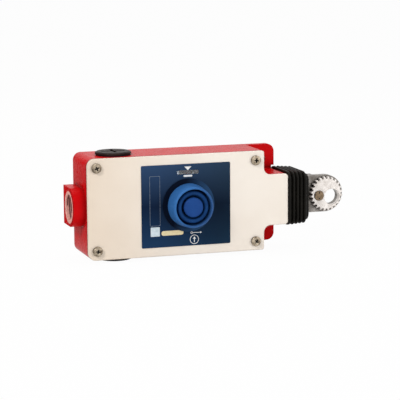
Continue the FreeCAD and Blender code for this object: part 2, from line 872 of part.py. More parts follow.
def make_reset_bezel():
    """Tapered ring with a threaded neck through the cover, a spring pocket and a guide for the stem."""
    bottom = gasket_front - s.bezel_below_cover - seal_front
    guide = s.stem_radius + s.running_gap
    spring_pocket = s.reset_pad_radius + s.reset_pad_gap
    profile = [(guide, bottom), (s.bezel_neck_radius, bottom), (s.bezel_neck_radius, 0),
               (s.bezel_base_radius, 0), (s.bezel_front_radius, s.bezel_height - s.bezel_round),
               (s.bezel_front_radius - s.bezel_round, s.bezel_height), (s.bezel_mouth_radius, s.bezel_height),
               (s.bezel_mouth_radius, s.bezel_height - s.boot_seat_depth),
               (spring_pocket, s.bezel_height - s.boot_seat_depth), (spring_pocket, 0), (guide, 0)]
    body = turned("reset_bezel", profile, -s.reset_left_of_origin, 0, seal_front, "V_Axis", "XZ_Plane")
    dress(body, "Fillet", s.bezel_round / 2,
          ring_edges(body, s.bezel_front_radius - s.bezel_round, s.bezel_height))


def make_reset_nut():
    """Six sided nut that clamps the bezel from behind the cover."""
    body = new_body("reset_nut", -s.reset_left_of_origin, 0, gasket_front)
    sketch = draw_outline(new_sketch(body), hexagon(s.reset_nut_radius))
    draw_circle(sketch, 0, 0, s.bezel_neck_radius + s.running_gap)
    pad(body, sketch, s.reset_nut_height, reverse=True)


def hexagon(radius):
    """Corners of a six sided nut with one pair of flats along x."""
    return [(radius * math.cos(math.radians(60 * corner)), radius * math.sin(math.radians(60 * corner)))
            for corner in range(6)]


def make_reset_boot():
    """Ribbed rubber diaphragm from the bezel's seat to the pad."""
    seat = s.bezel_height - s.boot_seat_depth
    wall = s.boot_wall
    inner = s.reset_pad_radius + s.boot_grip_gap
    low = seat + s.boot_grip_low
    high = seat + s.boot_grip_high
    crest = s.boot_crest_radius
    half = s.boot_crest_half
    front = s.bezel_height - s.boot_crest_drop
    under = front - s.boot_crest_wall
    profile = [(s.boot_clamp_radius, seat), (s.boot_clamp_radius, seat + s.boot_clamp_height),
               (crest + s.boot_foot_outside, seat + s.boot_foot_height),
               (crest + half + wall / 2, front), (crest - half - wall / 2, front),
               (inner + s.boot_grip_outside, high), (inner, high), (inner, low),
               (inner + s.boot_grip_inside, low), (crest - half, under), (crest + half, under),
               (crest + s.boot_foot_inside, seat)]
    turned("reset_boot", profile, -s.reset_left_of_origin, 0, seal_front, "V_Axis", "XZ_Plane")


def make_reset_button():
    """Round pad that the finger presses, with the stem as a piece of its own below it."""
    low = pad_front - s.reset_pad_height
    radius = s.reset_pad_radius
    front = s.reset_pad_height
    profile = [(0, 0), (radius, 0), (radius, front - s.reset_pad_edge),
               (radius - s.reset_pad_edge, front - s.reset_pad_crown), (radius / 2, front), (0, front)]
    turned("reset_button", profile, -s.reset_left_of_origin, 0, low, "V_Axis", "XZ_Plane")
    tip = latch_axis + s.latch_thickness / 2 + s.latch_play
    stem = s.stem_radius
    length = low - tip
    plunger = [(0, 0), (stem - s.stem_chamfer, 0), (stem, s.stem_chamfer), (stem, length), (0, length)]
    turned("reset_plunger", plunger, -s.reset_left_of_origin, 0, tip, "V_Axis", "XZ_Plane")


def make_coil(name, radius, wire, turns, length, x=0, up=0, out=0, along="x"):
    """Helical compression spring with its first coil at the given place."""
    body = new_body(name, x, up, out)
    if along == "x":
        plane, axis, centre = "XY_Plane", "H_Axis", (wire, radius)
    elif along == "y":
        plane, axis, centre = "XY_Plane", "V_Axis", (radius, wire)
    else:
        plane, axis, centre = "XZ_Plane", "V_Axis", (radius, wire)
    sketch = draw_circle(new_sketch(body, plane), centre[0], centre[1], wire)
    helix = body.newObject("PartDesign::AdditiveHelix", "coil")
    helix.Profile = sketch
    helix.ReferenceAxis = (sketch, [axis])
    helix.Mode = "height-turns-angle"
    bind(helix, "Height", length - 2 * wire)
    helix.Turns = turns.value
    bind(helix, "Turns", turns)
    doc.recompute()
    return body


def make_reset_spring():
    """Return spring round the stem, between the bezel's pocket and the pad."""
    low = seal_front
    room = pad_front - s.reset_pad_height - low
    make_coil("reset_spring", s.stem_radius + s.reset_spring_gap, s.reset_spring_wire, s.reset_spring_turns,
              room - 2 * s.spring_play, -s.reset_left_of_origin, 0, low + s.spring_play, along="z")


# Guide, bellows and pull rod

def make_guide_bush():
    """Flanged bush in the neck's end wall."""
    bore = s.rod_radius + s.running_gap
    seat = s.wiper_radius
    collar = seat + s.bush_collar_wall
    flange = s.bush_flange_thickness
    profile = [(-s.bush_wall, bore), (-s.bush_wall, s.bush_radius - s.running_gap),
               (0, s.bush_radius - s.running_gap), (0, s.bush_flange_radius), (flange, s.bush_flange_radius),
               (flange, collar), (flange + s.wiper_length, collar), (flange + s.wiper_length, seat),
               (flange, seat), (flange, bore)]
    turned("guide_bush", profile, s.neck_right, 0, pull_axis)


def make_rod_wiper():
    """Lip ring that wipes the rod in the bush's collar."""
    start = s.neck_right + s.bush_flange_thickness
    lip = s.rod_radius + s.running_gap
    profile = [(0, lip + s.wiper_wall), (0, s.wiper_radius), (s.wiper_length - s.wiper_edge, s.wiper_radius),
               (s.wiper_length, lip), (s.wiper_length - s.wiper_lip_length, lip)]
    turned("rod_wiper", profile, start, 0, pull_axis)


def make_bellows():
    """Rubber bellows of round cornered square section, its ribs a little smaller towards the head."""
    body = new_body("bellows", s.neck_right, 0, pull_axis)
    core = s.bellows_core_half
    pad(body, draw_outline(new_sketch(body, "YZ_Plane"), rectangle(-core, -core, core, core)), s.bellows_length)
    lip = s.bellows_half
    pad(body, draw_outline(new_sketch(body, "YZ_Plane"), rectangle(-lip, -lip, lip, lip)), s.bellows_lip)
    for rib in range(BELLOWS_RIBS):
        start = s.bellows_lip + (rib + 1) * s.bellows_pitch - s.bellows_crest
        high = s.bellows_half - rib * s.bellows_taper
        outline = rectangle(-high, -high, high, high)
        pad(body, draw_outline(new_sketch(body, "YZ_Plane", start), outline), s.bellows_crest)
    corners = edges_where(body, lambda middle, along, edge: abs(along.x) > 0.999)
    dress(body, "Fillet", s.bellows_corner_radius, corners)
    room = draw_circle(new_sketch(body, "YZ_Plane"), 0, 0, s.bush_flange_radius + s.bellows_play)
    pocket(body, room, s.bellows_length - s.bellows_end_wall, reverse=True)
    hub = draw_circle(new_sketch(body, "YZ_Plane"), 0, 0, s.head_hub_radius + s.running_gap)
    pocket(body, hub, s.bellows_length, reverse=True)


def make_pull_rod():
    """Stepped rod from the lock nuts inside to the pull head."""
    thin = s.rod_inner_radius
    thick = s.rod_radius
    right = head_left - s.rod_end_gap
    profile = [(-s.rod_left, 0), (-s.rod_left, thin - s.rod_chamfer), (-s.rod_left + s.rod_chamfer, thin),
               (s.rod_step - s.rod_step_taper, thin), (s.rod_step, thick), (right - s.edge_chamfer, thick),
               (right, thick - s.edge_chamfer), (right, 0)]
    body = turned("pull_rod", profile, 0, 0, pull_axis)
    hole = draw_circle(new_sketch(body, "XZ_Plane"), head_left - s.head_hub_length / 2, 0, s.head_pin_radius)
    pocket(body, hole, 2 * s.rod_radius, side="Symmetric")


def make_pull_head():
    """Zinc head: hub on the rod, square shoulder against the bellows and a round ended plate for the eye."""
    body = new_body("pull_head")
    back = plate_back
    plate_front = back + s.head_plate_thickness
    high = s.head_half_height
    shoulder = rectangle(head_left, -high, head_left + s.head_shoulder_length, high)
    depth = plate_front - pull_axis + s.head_shoulder_drop
    pad(body, draw_outline(new_sketch(body, "XY_Plane", pull_axis - s.head_shoulder_drop), shoulder), depth)
    plate = rectangle(head_left, -high, eye_centre, high)
    pad(body, draw_outline(new_sketch(body, "XY_Plane", back), plate), s.head_plate_thickness)
    disc = draw_circle(new_sketch(body, "XY_Plane", back), eye_centre, 0, high)
    pad(body, disc, s.head_plate_thickness)
    hub = new_sketch(body, "YZ_Plane", head_left)
    draw_circle(hub, 0, pull_axis, s.head_hub_radius)
    pad(body, hub, s.head_hub_length, reverse=True)
    bore = new_sketch(body, "YZ_Plane", head_left - s.head_hub_length)
    draw_circle(bore, 0, pull_axis, s.rod_radius + s.running_gap)
    pocket(body, bore, s.head_hub_length, reverse=True)
    pin_hole = new_sketch(body, "XZ_Plane")
    draw_circle(pin_hole, head_left - s.head_hub_length / 2, pull_axis, s.head_pin_radius)
    pocket(body, pin_hole, 2 * s.head_hub_radius, side="Symmetric")
    holes = new_sketch(body, "XY_Plane", back)
    draw_circle(holes, eye_centre + s.eye_hole_offset, -s.eye_hole_drop, s.eye_hole_radius)
    draw_circle(holes, eye_centre - s.eye_screw_offset, -s.eye_screw_drop, s.eye_screw_radius + s.running_gap)
    pocket(body, holes, s.head_plate_thickness, reverse=True)


def make_head_pin():
    """Cross pin that holds the head on the rod."""
    radius = s.head_pin_radius - s.running_gap
    half = s.head_hub_radius - s.head_pin_inset
    tip = radius - s.fine_chamfer
    profile = [(0, -half), (tip, -half), (radius, -half + s.fine_chamfer), (radius, half - s.fine_chamfer),
               (tip, half), (0, half)]
    x = head_left - s.head_hub_length / 2
    turned("head_pin", profile, x, 0, pull_axis, "V_Axis")


def make_eye_disc():
    """Toothed disc with the off-centre rope hole."""
    front = s.eye_thickness
    body = new_body("eye_disc", eye_centre, 0, plate_back + s.head_plate_thickness)
    blank = draw_circle(new_sketch(body), 0, 0, s.eye_radius)
    pad(body, blank, s.eye_thickness)
    dress(body, "Chamfer", s.eye_chamfer, ring_edges(body, s.eye_radius, front))
    half = s.eye_tooth_gap / 2
    root_half = half * (1 - TOOTH_TAPER)
    mouth_half = half * (1 + TOOTH_TAPER)
    mouth = s.eye_radius + s.cut_margin
    gap = [(s.eye_root_radius, -root_half), (mouth, -mouth_half), (mouth, mouth_half),
           (s.eye_root_radius, root_half)]
    sketch = draw_outline(new_sketch(body), gap)
    tooth = pocket(body, sketch, s.eye_thickness, reverse=True)
    repeat_polar(body, [tooth], sketch, EYE_TEETH)
    holes = new_sketch(body)
    draw_circle(holes, s.eye_hole_offset, -s.eye_hole_drop, s.eye_hole_radius)
    draw_circle(holes, -s.eye_screw_offset, -s.eye_screw_drop, s.eye_screw_radius + s.running_gap)
    pocket(body, holes, s.eye_thickness, reverse=True)


def make_eye_screw():
    """Clamp screw with two spanner holes in its flat head."""
    seat = plate_back + s.head_plate_thickness + s.eye_thickness
    length = s.eye_thickness + s.head_plate_thickness
    rise = s.eye_screw_head_height
    body = new_body("eye_screw", eye_centre - s.eye_screw_offset, -s.eye_screw_drop, seat)
    profile = [(0, -length), (s.eye_screw_radius, -length), (s.eye_screw_radius, 0),
               (s.eye_screw_head_radius, 0), (s.eye_screw_head_radius, rise - s.eye_screw_bevel),
               (s.eye_screw_head_radius - s.eye_screw_edge, rise), (0, rise)]
    spin(body, draw_outline(new_sketch(body, "XZ_Plane"), profile), "V_Axis")
    pins = new_sketch(body, "XY_Plane", rise)
    for side in (-1, 1):
        draw_circle(pins, 0, side * s.eye_screw_pin_offset, s.eye_screw_pin_radius)
    pocket(body, pins, rise)


# Return spring

def make_spring_seat():
    """Washer between the return spring and the cast rib."""
    body = new_body("spring_seat", -s.rib_left, 0, pull_axis)
    sketch = new_sketch(body, "YZ_Plane")
    draw_circle(sketch, 0, 0, s.spring_seat_radius)
    draw_circle(sketch, 0, 0, s.rod_inner_radius + s.spring_seat_play)
    pad(body, sketch, s.spring_seat_thickness, reverse=True)


def make_spring_collar():
    """Collar on the rod that carries the other end of the return spring."""
    bore = s.rod_inner_radius + s.running_gap
    pilot = s.spring_radius - s.spring_wire - s.spring_seat_play
    end = s.collar_thickness + s.collar_pilot_length
    profile = [(0, bore), (0, s.spring_seat_radius - s.edge_chamfer), (s.edge_chamfer, s.spring_seat_radius),
               (s.collar_thickness, s.spring_seat_radius), (s.collar_thickness, pilot),
               (end, pilot - s.spring_seat_play), (end, bore)]
    turned("spring_collar", profile, -s.collar_left, 0, pull_axis)


def make_return_spring():
    """Compression spring that draws the rod back when the rope is slack."""
    start = -s.collar_left + s.collar_thickness
    room = -s.rib_left - s.spring_seat_thickness - start
    make_coil("return_spring", s.spring_radius, s.spring_wire, s.spring_turns, room - 2 * s.spring_play,
              start + s.spring_play, 0, pull_axis)


def make_rod_nuts():
    """Two lock nuts behind the collar."""
    body = new_body("rod_nuts", -s.collar_left, 0, pull_axis, many=True)
    sketch = draw_outline(new_sketch(body, "YZ_Plane"), hexagon(s.rod_nut_radius))
    draw_circle(sketch, 0, 0, s.rod_inner_radius + s.running_gap)
    nut = pad(body, sketch, s.rod_nut_thickness, reverse=True)
    corners = edges_where(body, lambda middle, along, edge: abs(along.x) > 0.999)
    dress(body, "Chamfer", s.rod_nut_chamfer, corners)
    pair = repeat_linear(body, [nut], sketch, "N_Axis", s.rod_nut_thickness + s.rod_nut_gap)
    pair.Reversed = True
    doc.recompute()


# Cam and contacts

def make_contact_cam():
    """Cone on the rod that pushes both plungers outwards as the rope is pulled."""
    bore = s.rod_inner_radius + s.running_gap
    low = s.cam_large_radius - s.cam_slope * s.cam_ramp
    profile = [(0, bore), (0, s.cam_large_radius - s.edge_chamfer), (s.edge_chamfer, s.cam_large_radius),
               (s.cam_flange, s.cam_large_radius), (s.cam_flange + s.cam_ramp, low),
               (s.cam_length, low), (s.cam_length, bore)]
    body = turned("contact_cam", profile, s.cam_left, 0, pull_axis)
    hole = draw_circle(new_sketch(body), s.cam_flange / 2, 0, s.cam_pin_radius)
    pocket(body, hole, 2 * s.cam_large_radius, side="Symmetric")


def make_cam_pins():
    """Two short pins that key the cam to the rod."""
    length = s.cam_large_radius - s.rod_inner_radius - s.running_gap - s.cam_pin_inset
    x = s.cam_left + s.cam_flange / 2
    body = new_body("cam_pins", x, 0, pull_axis, many=True)
    radius = s.cam_pin_radius - s.running_gap
    start = s.rod_inner_radius + s.running_gap
    upper = draw_circle(new_sketch(body, "XY_Plane", start), 0, 0, radius)
    pad(body, upper, length)
    lower = draw_circle(new_sketch(body, "XY_Plane", -start), 0, 0, radius)
    pad(body, lower, length, reverse=True)


def plunger_rest():
    """Height above the rod's axis at which a plunger's round tip just clears the cam at rest."""
    below = s.cam_left + s.cam_flange
    cone = s.cam_large_radius - s.cam_slope * (s.plunger_centre - below)
    tilt = math.cos(math.atan(s.cam_slope.value))
    return cone + s.plunger_radius * (1 / tilt - 1) + s.plunger_gap


def make_contact_block(name, side):
    """Moulded block with a cell for the bridge, a bore for the plunger and holes for screws."""
    body = new_body(name)
    inner = side * s.block_inner
    outer = side * block_outer
    corners = rectangle(s.block_left, inner, s.block_left + s.block_length, outer)
    if side < 0:
        corners = rectangle(s.block_left, outer, s.block_left + s.block_length, inner)
    height = block_front - s.floor_thickness
    pad(body, draw_outline(new_sketch(body, "XY_Plane", s.floor_thickness), corners), height)
    round_uprights(body, corners, s.block_chamfer)
    margin = s.block_cell_margin
    half_length = s.bridge_half_length + margin
    low = side * cell_inner
    high = side * cell_outer
    if side < 0:
        low, high = high, low
    cell = rectangle(s.plunger_centre - half_length, low, s.plunger_centre + half_length, high)
    half_out = s.bridge_width / 2 + margin
    cell_back = pull_axis - half_out
    pocket(body, draw_outline(new_sketch(body, "XY_Plane", cell_back), cell), 2 * half_out, reverse=True)
    bore = new_sketch(body, "XZ_Plane", side * (s.block_inner + cell_inner) / 2)
    draw_circle(bore, s.plunger_centre, pull_axis, s.plunger_radius + s.running_gap)
    pocket(body, bore, cell_inner - s.block_inner + s.cut_margin, side="Symmetric")
    holes = new_sketch(body, "XY_Plane", block_front)
    for x, up in terminal_places(side):
        draw_circle(holes, x, up, s.terminal_screw_radius + s.running_gap)
    pocket(body, holes, s.terminal_screw_height)
    through = new_sketch(body, "XY_Plane", s.floor_thickness)
    for x, up in block_screw_places():
        if up.value * side > 0:
            draw_circle(through, x, up, s.block_screw_radius + s.running_gap)
    pocket(body, through, height, reverse=True)


def terminal_places(side):
    """Middle points of the four terminal screws of one block."""
    middle = s.block_left + s.block_length / 2
    up = side * (s.block_inner + block_outer) / 2
    rise = (block_outer - s.block_inner) / 4
    return [(middle + across * s.terminal_pitch / 2, up + lift * rise)
            for across in (-1, 1) for lift in (-1, 1)]


def block_screw_places():
    """Middle points of the screws that hold both contact blocks to the floor."""
    inset = s.block_screw_head_radius + s.block_screw_margin
    up = s.block_inner + inset
    return [(x, side * up) for side in (-1, 1)
            for x in (s.block_left + inset, s.block_left + s.block_length - inset)]


def make_contact_plunger(name, side):
    """Round tipped plunger with the contact bridge on its shaft."""
    tip = plunger_rest()
    body = new_body(name, s.plunger_centre, 0, pull_axis)
    radius = s.plunger_radius
    length = bridge_up - tip
    start = side * (tip + radius)
    shaft = draw_circle(new_sketch(body, "XZ_Plane", start), 0, 0, radius)
    pad(body, shaft, length - radius + s.bridge_thickness / 2, reverse=side > 0)
    cap = body.newObject("PartDesign::AdditiveSphere", "tip")
    bind(cap, "Radius", radius)
    cap.AttachmentSupport = [([face for face in body.Origin.OriginFeatures if face.Role == "XZ_Plane"][0], "")]
    cap.MapMode = "FlatFace"
    bind(cap, "AttachmentOffset.Base.z", -start)
    doc.recompute()
    half = s.bridge_half_length
    low = side * (bridge_up - s.bridge_thickness / 2)
    high = side * (bridge_up + s.bridge_thickness / 2)
    if side < 0:
        low, high = high, low
    bar = rectangle(-half, low, half, high)
    pad(body, draw_outline(new_sketch(body), bar), s.bridge_width, side="Symmetric")


def make_contact_spring(name, side):
    """Small spring that returns the plunger."""
    start = bridge_up + s.bridge_thickness / 2 + s.contact_spring_play
    up = start if side > 0 else -start - contact_room
    make_coil(name, s.contact_spring_radius, s.contact_spring_wire, s.contact_spring_turns, contact_room,
              s.plunger_centre, up, pull_axis, along="y")


def make_terminals():
    """Terminal screws on their square wire clamps, four on each block."""
    clamps = new_body("terminal_clamps", 0, 0, block_front, many=True)
    plate = new_sketch(clamps)
    holes = new_sketch(clamps)
    half = s.terminal_clamp_size / 2
    screws = new_body("terminal_screws", 0, 0, block_front, many=True)
    shanks = new_sketch(screws, "XY_Plane", -s.terminal_screw_height)
    heads = new_sketch(screws, "XY_Plane", s.terminal_clamp_thickness)
    for side in (-1, 1):
        for x, up in terminal_places(side):
            draw_outline(plate, rectangle(x - half, up - half / 2, x + half, up + half / 2))
            draw_circle(holes, x, up, s.terminal_screw_radius + s.running_gap)
            draw_circle(shanks, x, up, s.terminal_screw_radius)
            draw_circle(heads, x, up, s.terminal_head_radius)
    pad(clamps, plate, s.terminal_clamp_thickness)
    pocket(clamps, holes, s.terminal_clamp_thickness, reverse=True)
    pad(screws, shanks, s.terminal_screw_height + s.terminal_clamp_thickness)
    pad(screws, heads, s.terminal_screw_height)


def make_block_screws():
    """Four long screws that hold the contact blocks to the floor."""
    body = new_body("block_screws", 0, 0, s.floor_thickness, many=True)
    shanks = new_sketch(body)
    heads = new_sketch(body, "XY_Plane", block_front - s.floor_thickness)
    for x, up in block_screw_places():
        draw_circle(shanks, x, up, s.block_screw_radius)
        draw_circle(heads, x, up, s.block_screw_head_radius)
    pad(body, shanks, block_front - s.floor_thickness)
    pad(body, heads, s.block_screw_radius)


# Latch

def make_latch_lever():
    """Lever that the reset plunger presses, with a hook arm towards the wall."""
    width = s.latch_width
    body = new_body("latch_lever", -s.reset_left_of_origin)
    out = latch_axis
    up = s.latch_axis_up
    arm_front = out + s.latch_thickness / 2
    arm = rectangle(up - s.latch_arm_length, arm_front - s.latch_thickness, up, arm_front)
    pad(body, draw_outline(new_sketch(body, "YZ_Plane"), arm), width, side="Symmetric")
    eye = draw_circle(new_sketch(body, "YZ_Plane"), up, out, s.latch_eye_radius)
    pad(body, eye, width, side="Symmetric")
    hook = rectangle(up - s.latch_thickness / 2, out - s.latch_hook_depth, up + s.latch_thickness / 2, out)
    pad(body, draw_outline(new_sketch(body, "YZ_Plane"), hook), width, side="Symmetric")
    tip = out - s.latch_hook_depth
    nose = rectangle(up - s.latch_nose_length, tip, up, tip + s.latch_thickness)
    pad(body, draw_outline(new_sketch(body, "YZ_Plane"), nose), width, side="Symmetric")
    bore = draw_circle(new_sketch(body, "YZ_Plane"), up, out, s.latch_pin_radius + s.running_gap)
    pocket(body, bore, width, side="Symmetric")


def make_latch_bracket():
    """Sheet metal bracket with two ears that stand on the floor and carry the latch pin."""
    body = new_body("latch_bracket", -s.reset_left_of_origin)
    inner = s.latch_width / 2 + s.bracket_gap
    outer = inner + s.bracket_thickness
    up = s.latch_axis_up
    half = s.bracket_half_width
    high = latch_axis + s.latch_eye_radius
    floor = s.floor_thickness
    base = rectangle(-outer, up - half, outer, up + half)
    pad(body, draw_outline(new_sketch(body, "XY_Plane", floor), base), s.bracket_thickness)
    for side in (-1, 1):
        ear = rectangle(up - half, floor, up + half, high)
        sketch = draw_outline(new_sketch(body, "YZ_Plane", side * inner), ear)
        pad(body, sketch, s.bracket_thickness, reverse=side < 0)
    bore = draw_circle(new_sketch(body, "YZ_Plane"), up, latch_axis, s.latch_pin_radius + s.running_gap)
    pocket(body, bore, 2 * outer, side="Symmetric")


def make_latch_pin():
    """Pin through both ears of the bracket."""
    half = s.latch_width / 2 + s.bracket_gap + s.bracket_thickness
    radius = s.latch_pin_radius
    head = s.latch_pin_head
    profile = [(-half, 0), (-half, radius), (half, radius), (half, radius + head), (half + head, radius + head),
               (half + head, 0)]
    turned("latch_pin", profile, -s.reset_left_of_origin, s.latch_axis_up, latch_axis)


# Tension pointer

def make_tension_pointer():
    """Bent sheet on the rod that carries a light tab behind the window."""
    body = new_body("tension_pointer")
    back = s.case_depth - s.pointer_arm_inset
    front = back + s.pointer_arm_depth
    flag_front = s.case_depth - s.pointer_flag_inset
    half = s.pointer_arm_half_width
    thick = s.pointer_thickness
    left = s.pointer_left
    ring = new_sketch(body, "YZ_Plane", left)
    draw_circle(ring, 0, pull_axis, s.pointer_ring_radius)
    pad(body, ring, thick)
    stem = rectangle(-half, pull_axis, half, front)
    pad(body, draw_outline(new_sketch(body, "YZ_Plane", left), stem), thick)
    tab_up = s.window_up + s.window_height / 2
    arm = rectangle(0, back, tab_up, front)
    pad(body, draw_outline(new_sketch(body, "YZ_Plane", left), arm), thick)
    window_low = s.window_up - s.window_height / 2
    carrier_low = window_low - s.pointer_carrier_drop
    carrier_high = window_low - s.pointer_carrier_gap
    upright = rectangle(carrier_low, back, tab_up, flag_front)
    pad(body, draw_outline(new_sketch(body, "YZ_Plane", left), upright), thick)
    flag_back = flag_front - s.pointer_flag_thickness
    carrier = rectangle(-s.pointer_tab_left, carrier_low, left + thick, carrier_high)
    pad(body, draw_outline(new_sketch(body, "XY_Plane", flag_back), carrier), s.pointer_flag_thickness)
    tab = rectangle(-s.pointer_tab_left, carrier_low, -s.pointer_tab_left + s.pointer_tab_width, tab_up)
    pad(body, draw_outline(new_sketch(body, "XY_Plane", flag_back), tab), s.pointer_flag_thickness)
    hole = new_sketch(body, "YZ_Plane", left)
    draw_circle(hole, 0, pull_axis, s.rod_inner_radius + s.running_gap)
    pocket(body, hole, 3 * thick, side="Symmetric")


# Earth terminal

def make_earth_terminal():
    """Earth screw and its square washer on the cast post."""
    washer = new_body("earth_washer", -s.earth_left, -s.earth_down, s.earth_post_out)
    half = s.earth_washer_radius
    sketch = draw_outline(new_sketch(washer), rectangle(-half, -half, half, half))
    draw_circle(sketch, 0, 0, s.earth_screw_radius + s.running_gap)
    pad(washer, sketch, s.earth_washer_thickness)
    shank = s.earth_post_out - s.floor_thickness
    rise = s.earth_washer_thickness + s.earth_head_height
    profile = [(0, -shank), (s.earth_screw_radius, -shank), (s.earth_screw_radius, s.earth_washer_thickness),
               (s.earth_head_radius, s.earth_washer_thickness), (s.earth_head_radius, rise - s.edge_chamfer),
               (s.earth_head_radius - s.edge_chamfer, rise), (0, rise)]
    body = new_body("earth_screw", -s.earth_left, -s.earth_down, s.earth_post_out)
    spin(body, draw_outline(new_sketch(body, "XZ_Plane"), profile), "V_Axis")
    cut_cross(body, rise, s.cross_length, s.cross_width, s.cross_depth)


def make_all():
    """Every piece of the switch, from the case inwards."""
    make_housing()
    make_cover_gasket()
    make_cover_plate()
    make_cover_screws()
    make_front_label()
    make_indicator_lens()
    make_plug("top_plug", 1)
    make_plug("bottom_plug", -1)
    make_reset_seal()
    make_reset_bezel()
    make_reset_nut()
    make_reset_boot()
    make_reset_button()
    make_reset_spring()
    make_guide_bush()
    make_rod_wiper()
    make_bellows()
    make_pull_rod()
    make_pull_head()
    make_head_pin()
    make_eye_disc()
    make_eye_screw()
    make_spring_seat()
    make_spring_collar()
    make_return_spring()
    make_rod_nuts()
    make_contact_cam()
    make_cam_pins()
    for word, side in (("upper", 1), ("lower", -1)):
        make_contact_block(f"contact_block_{word}", side)
        make_contact_plunger(f"contact_plunger_{word}", side)
        make_contact_spring(f"contact_spring_{word}", side)
    make_terminals()
    make_block_screws()
    make_latch_lever()
    make_latch_bracket()
    make_latch_pin()
    make_tension_pointer()
    make_earth_terminal()


def write_all():
    """Check every object, then write one STEP file for each piece."""
    doc.recompute()
    for thing in doc.Objects:
        if "Invalid" in thing.State or "Error" in thing.State:
            raise RuntimeError(f"{thing.Name} failed: {thing.State}")
    for body in pieces:
        if body.Shape.isNull() or not body.Shape.isValid():
            raise RuntimeError(f"{body.Label} has no sound shape")
    os.makedirs("parts", exist_ok=True)
    for body in pieces:
        body.Shape.exportStep(f"parts/{body.Label}.step")
        print(body.Label, len(body.Shape.Solids), round(body.Shape.Volume, 1))


make_all()
write_all()
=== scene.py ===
import bmesh
import bpy
import math
from mathutils import Matrix, Vector


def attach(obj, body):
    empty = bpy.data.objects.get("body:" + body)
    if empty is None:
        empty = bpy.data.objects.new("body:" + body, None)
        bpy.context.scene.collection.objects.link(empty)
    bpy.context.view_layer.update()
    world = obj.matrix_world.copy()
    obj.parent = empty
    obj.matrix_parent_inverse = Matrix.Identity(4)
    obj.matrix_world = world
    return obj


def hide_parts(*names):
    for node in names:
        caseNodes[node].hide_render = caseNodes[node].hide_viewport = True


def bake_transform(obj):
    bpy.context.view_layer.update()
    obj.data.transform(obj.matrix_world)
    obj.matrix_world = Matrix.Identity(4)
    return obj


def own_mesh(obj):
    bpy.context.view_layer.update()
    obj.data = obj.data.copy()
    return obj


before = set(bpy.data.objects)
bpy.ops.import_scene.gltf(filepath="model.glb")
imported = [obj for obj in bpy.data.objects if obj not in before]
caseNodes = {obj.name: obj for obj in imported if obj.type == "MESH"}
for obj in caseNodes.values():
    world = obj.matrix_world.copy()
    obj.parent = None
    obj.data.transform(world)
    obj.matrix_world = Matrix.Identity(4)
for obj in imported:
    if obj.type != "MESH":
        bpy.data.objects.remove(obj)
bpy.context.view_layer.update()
mm = 0.001
# metres: points that merge into one, places that count as equal, and a run that counts as level
closeTo = {"merge": 0.00002, "same": 0.00001, "level": 0.000001}

# rope pull switch, cover facing -Y, rope pull along +X, +Z up the wall
# lengths in the dictionaries are millimetres: x along the rod, up the wall, out of the wall


def place(x, up, out):
    return Vector((x * mm, -out * mm, up * mm))


def clearSelection():
    if bpy.context.object and bpy.context.object.mode != "OBJECT":
        bpy.ops.object.mode_set(mode="OBJECT")
    bpy.ops.object.select_all(action="DESELECT")


def keepActive(piece):
    clearSelection()
    piece.select_set(True)
    bpy.context.view_layer.objects.active = piece


def settle(piece):
    keepActive(piece)
    bpy.ops.object.transform_apply(location=True, rotation=True, scale=True)


def closeUp(piece):
    # doubles merged, then every face turned outwards
    keepActive(piece)
    bpy.ops.object.mode_set(mode="EDIT")
    bpy.ops.mesh.select_all(action="SELECT")
    bpy.ops.mesh.remove_doubles(threshold=closeTo["merge"])
    bpy.ops.mesh.normals_make_consistent(inside=False)
    bpy.ops.object.mode_set(mode="OBJECT")


def smooth(piece, degrees=35):
    keepActive(piece)
    bpy.ops.object.shade_smooth_by_angle(angle=math.radians(degrees))


def applyAll(piece):
    keepActive(piece)
    for modifier in list(piece.modifiers):
        bpy.ops.object.modifier_apply(modifier=modifier.name)


def pickFaces(piece, test):
    # selects in edit mode the faces that pass a test of middle and normal
    bpy.ops.object.mode_set(mode="EDIT")
    bpy.ops.mesh.select_mode(type="FACE")
    bpy.ops.mesh.select_all(action="DESELECT")
    cage = bmesh.from_edit_mesh(piece.data)
    for face in cage.faces:
        face.select_set(test(face.calc_center_median(), face.normal))
    bmesh.update_edit_mesh(piece.data)


def pickEdges(piece, test):
    bpy.ops.object.mode_set(mode="EDIT")
    bpy.ops.mesh.select_mode(type="EDGE")
    bpy.ops.mesh.select_all(action="DESELECT")
    cage = bmesh.from_edit_mesh(piece.data)
    for edge in cage.edges:
        first, second = edge.verts[0].co, edge.verts[1].co
        if test((first + second) / 2, second - first):
            edge.select_set(True)
    bmesh.update_edit_mesh(piece.data)


def layAlong(piece, spot, axis):
    # the piece's own Z turned onto an axis, its origin at a spot
    turn = axis.to_track_quat("Z", "Y").to_matrix().to_4x4()
    piece.matrix_world = Matrix.Translation(spot) @ turn


def joinPieces(pieces, name):
    clearSelection()
    for piece in pieces:
        piece.select_set(True)
    bpy.context.view_layer.objects.active = pieces[0]
    if len(pieces) > 1:
        bpy.ops.object.join()
    pieces[0].name = name
    return pieces[0]


def finishPiece(piece, body, material, standsFor=()):
    # a piece that bends between two bodies has no body of its own
    piece.data.materials.clear()
    piece.data.materials.append(material)
    if body:
        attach(piece, body)
    if standsFor:
        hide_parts(*standsFor)
    return piece


